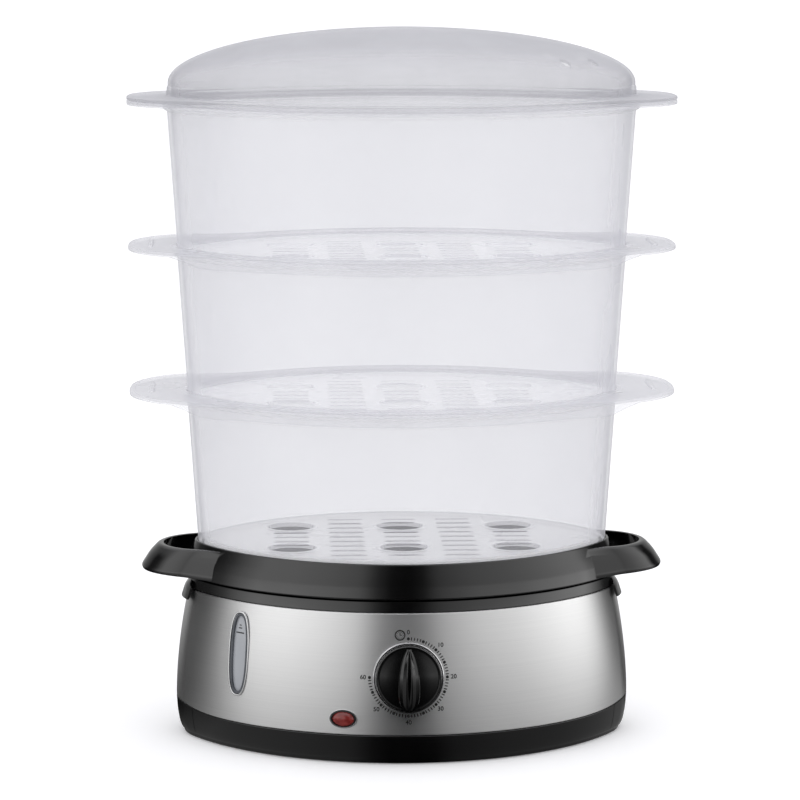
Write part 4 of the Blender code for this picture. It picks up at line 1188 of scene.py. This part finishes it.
def make_trays():
    lie_across = spin(pi / 2)
    for index, name in enumerate(TRAY_NAMES):
        low = TRAY_BOTTOM_Z + index * TRAY_PITCH
        floor = low + TRAY_FLOOR
        tray = mesh_object(f"{name}_clear", loft(tray_rings(index)))
        rims, holes = [], []
        for x, y in egg_seats():
            place = shift(x, y, floor)
            r = EGG_HOLE_RADIUS
            section = [
                (r + 2.6, -1.0, 0), (r + 2.4, 0.1, 0.2), (r + 1.7, 0.6, 0.3),
                (r + 0.6, 0.6, 0.3), (r - 0.6, -1.0, 0), (r + 2.6, -1.0, 0),
            ]
            rims.append(turned(section, place, 48))
            holes.append(cylinder(EGG_HOLE_RADIUS, -4, 3, place, 48))
        for x, y in floor_slots():
            place = shift(x, y, floor) @ lie_across
            half_width, half_length = SLOT_WIDTH / 2, SLOT_LENGTH / 2
            holes.append(capsule_block(half_width, half_length, -4, 3, place, 6))
        if index < 2:
            rims += [grip_rib(side, low + TRAY_HEIGHT - LOBE_SINKS[index]) for side in (-1, 1)]
        combine(tray, rims, "UNION")
        combine(tray, holes, "DIFFERENCE")
        add_piece(tray, name, "clear_tray", [name])
        # The floor faces take the lighter, glowing copy of the plastic. It is painted light
        # against the shade that the tiers above cast on them.
        tray.data.materials.append(LOOKS["clear_floor_painted_light"])
        for face in tray.data.polygons:
            if face.center.z < (floor + STAND + 1.0) * MM and abs(face.normal.z) > 0.6:
                face.material_index = 1


def grip_rib(side, z):
    """A short rib along the middle of a lobe."""
    place = shift(side * LOBE_RIB_X, 0, z - 0.35)
    rings = [
        (capsule(1.5, 19, -0.8), 0),
        (capsule(1.3, 18.8, 0.3), 0.3),
        (capsule(0.8, 18.3, 0.8), 0.4),
        (capsule(0.3, 17.8, 0.85), 0),
    ]
    return moved(loft(softened(rings)), place)


def dome_rings(size, inset, top):
    """Rings from the lid's crease up to just short of the middle of its top."""
    rings = []
    for k in range(DOME_STEPS + 1):
        angle = radians(88) * k / DOME_STEPS
        scale, rise = cos(angle), (top - LID_CREASE_Z) * sin(angle)
        half_width, half_depth = ((half - inset) * scale for half in size)
        rings.append((ring(half_width, half_depth, LID_CREASE_Z + rise), 0))
    return rings


def make_lid():
    """A domed lid with a crease, a flange that matches the upper tray's, and a lip inside it."""
    low = LID_FLANGE_Z
    top = low + 1.5
    lip = low - 3.6
    size = (LID_HALF_WIDTH, LID_HALF_DEPTH)
    outer = ovals([(size, -3.2, lip, 0.4), (size, -1.6, lip, 0.4), (size, -1.6, low, 0.3)])
    outer += [(flange_ring(2, 0.0, low, low), 0.3), (flange_ring(2, 0.0, top, top), 0.6)]
    rows = [
        (size, 0.3, top, 1.2),
        (size, 0.0, LID_CREASE_Z - 2.2, 0.3),
        (size, -0.5, LID_CREASE_Z - 1.6, 0.3),
    ]
    outer += ovals(rows) + dome_rings(size, 0.5, LID_TOP_Z)
    inner = dome_rings(size, LID_WALL + 0.4, LID_TOP_Z - LID_WALL)[::-1]
    rings = softened(outer + inner, cyclic=True)
    bm = bmesh.new()
    rows = [[bm.verts.new(point) for point in points] for points in rings]
    count = len(rows[0])
    split = len(rows) - len(inner) - 1
    for first, second in zip(rows, rows[1:] + rows[:1]):
        if first is rows[split]:
            bm.faces.new(first)
            bm.faces.new(list(reversed(second)))
            continue
        for i in range(count):
            j = (i + 1) % count
            bm.faces.new((first[i], first[j], second[j], second[i]))
    lid = mesh_object("lid_dome", bm)
    vents = []
    for x, y in VENTS:
        vents.append(cylinder(VENT_RADIUS, LID_CREASE_Z - 3.6, LID_TOP_Z + 3.05, shift(x, y), 32))
    combine(lid, vents, "DIFFERENCE")
    add_piece(lid, "lid", "clear_lid", ["lid"])


# -------- carried-over CAD nodes

CAD_LOOKS = {
    "zinc": (
        "base_screw",
        "heater_clamp",
        "heater_screw",
        "timer_case",
        "timer_screw",
        "timer_shaft",
        "thermal_fuse",
    ),
    "brass": ("heater_terminal", "timer_bell", "thermostat"),
    "rubber": ("foot", "gauge_seal", "heater_gasket"),
    "white_plastic": ("lamp_holder", "terminal_block"),
    "neon_glass": ("neon_lamp",),
    "wire_jacket": ("wire",),
}


def dress_cad_nodes():
    """Gives every CAD node that still shows its own procedural material."""
    for name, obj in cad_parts.items():
        if obj.hide_render:
            continue
        look = next(k for k, starts in CAD_LOOKS.items() if name.startswith(starts))
        if not obj.material_slots:
            obj.data.materials.append(LOOKS[look])
        for slot in obj.material_slots:
            slot.material = LOOKS[look]


# -------- studio, whose places and sizes are in metres

CEILING = (1.05, 1.05, 1.07)
SOFT_LIGHT = (0.95, 0.95, 0.98)
FLOOR_GLOW = 0.17
# Brightness of the floor in reflections, near the object and far from it: the dimmer near value is
# a painted shade for the object's shadow.
FLOOR_NEAR = 0.22
FLOOR_FAR = 1.35
FLOOR_FADE = (0.2, 1.3)
FLOOR_BOUNCE = 0.75

# Brightness of the studio's walls by direction: 0 is behind the object, 0.5 is the camera's side
WALL_STOPS = (
    (0.000, 0.62), (0.140, 0.20), (0.165, 0.04), (0.205, 0.07), (0.232, 0.22),
    (0.258, 0.62), (0.292, 1.08), (0.345, 1.07), (0.395, 0.90), (0.440, 0.66),
    (0.464, 0.17), (0.483, 0.02), (0.510, 0.012), (0.528, 0.07), (0.550, 0.36),
    (0.600, 0.64), (0.655, 0.80), (0.700, 1.02), (0.745, 1.22), (0.780, 1.24),
    (0.800, 0.60), (0.822, 0.04), (0.865, 0.05), (0.895, 0.35), (1.000, 0.62),
)


def compass(tree, vector):
    """Turns a direction or a place on the floor into 0 to 1 round the object, from behind it."""
    parts = node(tree, "ShaderNodeSeparateXYZ", Vector=vector)
    forward = node(tree, "ShaderNodeMath", {"operation": "MULTIPLY"})
    tree.links.new(parts.outputs["Y"], forward.inputs[0])
    forward.inputs[1].default_value = -1.0
    turn = node(tree, "ShaderNodeMath", {"operation": "ARCTAN2"})
    tree.links.new(parts.outputs["X"], turn.inputs[0])
    tree.links.new(forward.outputs[0], turn.inputs[1])
    return span(tree, turn.outputs[0], -pi, pi), parts.outputs["Z"]


def make_world():
    """A studio whose walls, as glossy surfaces mirror them, are bright to the sides and dark
    behind the camera, under a soft ceiling. Everything else is lit by an even soft light, and
    the camera itself sees plain white."""
    world = bpy.data.worlds.new("studio")
    bpy.context.scene.world = world
    world.use_nodes = True
    tree = world.node_tree
    tree.nodes.clear()
    around_object, upward = compass(tree, node(tree, "ShaderNodeTexCoord").outputs["Generated"])
    walls = ramp(tree, around_object, WALL_STOPS)
    height = ramp(tree, upward, [(0.42, 0.0), (0.80, 1.0)])
    studio = mixed(tree, height, walls, (*CEILING, 1.0))
    rays = node(tree, "ShaderNodeLightPath")
    lit = mixed(tree, rays.outputs["Is Glossy Ray"], (*SOFT_LIGHT, 1.0), studio)
    shown = mixed(tree, rays.outputs["Is Camera Ray"], lit, (1.0, 1.0, 1.0, 1.0))
    light = node(tree, "ShaderNodeBackground", Color=shown, Strength=1.0)
    tree.links.new(light.outputs[0], node(tree, "ShaderNodeOutputWorld").inputs["Surface"])


def mixed(tree, factor, first, second):
    made = node(tree, "ShaderNodeMix", {"data_type": "RGBA"})
    link_value(tree, factor, made.inputs[0])
    link_value(tree, first, made.inputs[6])
    link_value(tree, second, made.inputs[7])
    return made.outputs[2]


def make_floor():
    """A pale floor. In the object's own reflections it carries on the studio's walls, with a
    painted shade that darkens it near the object in place of the object's shadow.
    """
    bm = bmesh.new()
    bmesh.ops.create_grid(bm, x_segments=8, y_segments=8, size=40.0)
    floor = mesh_object("floor", bm)
    made = finish(
        "pale_floor",
        ((0.97, 0.97, 0.97), (0.985, 0.985, 0.985)),
        (0.85, 0.95),
        grain=30,
        blotch=2,
        bump=0.0001,
        Specular_IOR_Level=0.0,
        Emission_Color=(1.0, 1.0, 1.0, 1.0),
        Emission_Strength=FLOOR_GLOW,
    )
    tree = made.node_tree
    shader = tree.nodes["Principled BSDF"]
    place = node(tree, "ShaderNodeTexCoord").outputs["Object"]
    walls = ramp(tree, compass(tree, place)[0], WALL_STOPS)
    # Painted shade: the reflected floor is darker near the object, standing for the shadow that
    # the object casts there.
    length = node(tree, "ShaderNodeVectorMath", {"operation": "LENGTH"}, Vector=place)
    fade = span(tree, length.outputs["Value"], *FLOOR_FADE, FLOOR_NEAR, FLOOR_FAR)
    reflected = node(tree, "ShaderNodeEmission", Color=walls, Strength=fade)
    bounced = node(tree, "ShaderNodeEmission", Strength=FLOOR_BOUNCE)
    rays = node(tree, "ShaderNodeLightPath")
    unseen = node(tree, "ShaderNodeMixShader", Fac=rays.outputs["Is Glossy Ray"])
    tree.links.new(bounced.outputs[0], unseen.inputs[1])
    tree.links.new(reflected.outputs[0], unseen.inputs[2])
    both = node(tree, "ShaderNodeMixShader", Fac=rays.outputs["Is Camera Ray"])
    tree.links.new(unseen.outputs[0], both.inputs[1])
    tree.links.new(shader.outputs[0], both.inputs[2])
    output = tree.nodes["Material Output"]
    tree.links.new(both.outputs[0], output.inputs["Surface"])
    floor.data.materials.append(made)


def area_light(name, place, target, size, power):
    data = bpy.data.lights.new(name, "AREA")
    data.shape = "RECTANGLE"
    data.size, data.size_y = size
    data.energy = power
    obj = linked(name, data)
    obj.location = place
    obj.rotation_euler = (Vector(target) - Vector(place)).to_track_quat("-Z", "Y").to_euler()
    obj.visible_glossy = False


def make_camera():
    data = bpy.data.cameras.new("camera")
    data.lens = 155.25
    data.shift_x = -0.0025
    data.clip_end = 200.0
    camera = linked("camera", data)
    camera.location = (-0.0765, -1.9055, 0.456 + STAND * MM)
    camera.rotation_euler = (radians(81.9), 0.0, radians(-2.3))
    bpy.context.scene.camera = camera


make_camera()
make_world()
make_floor()
area_light("overhead", (0.1, -0.3, 1.9), (0, 0, 0.2), (1.6, 1.2), 4.0)

make_base_cover()
make_steel_band()
make_body_shell()
make_water_tank()
make_heater()
make_knob()
make_dial()
make_gauge()
make_lamp()
make_gland()
make_drip_tray()
make_trays()
make_lid()
dress_cad_nodes()

bpy.context.scene.view_settings.view_transform = "Standard"
bpy.context.scene.cycles.transparent_max_bounces = 40
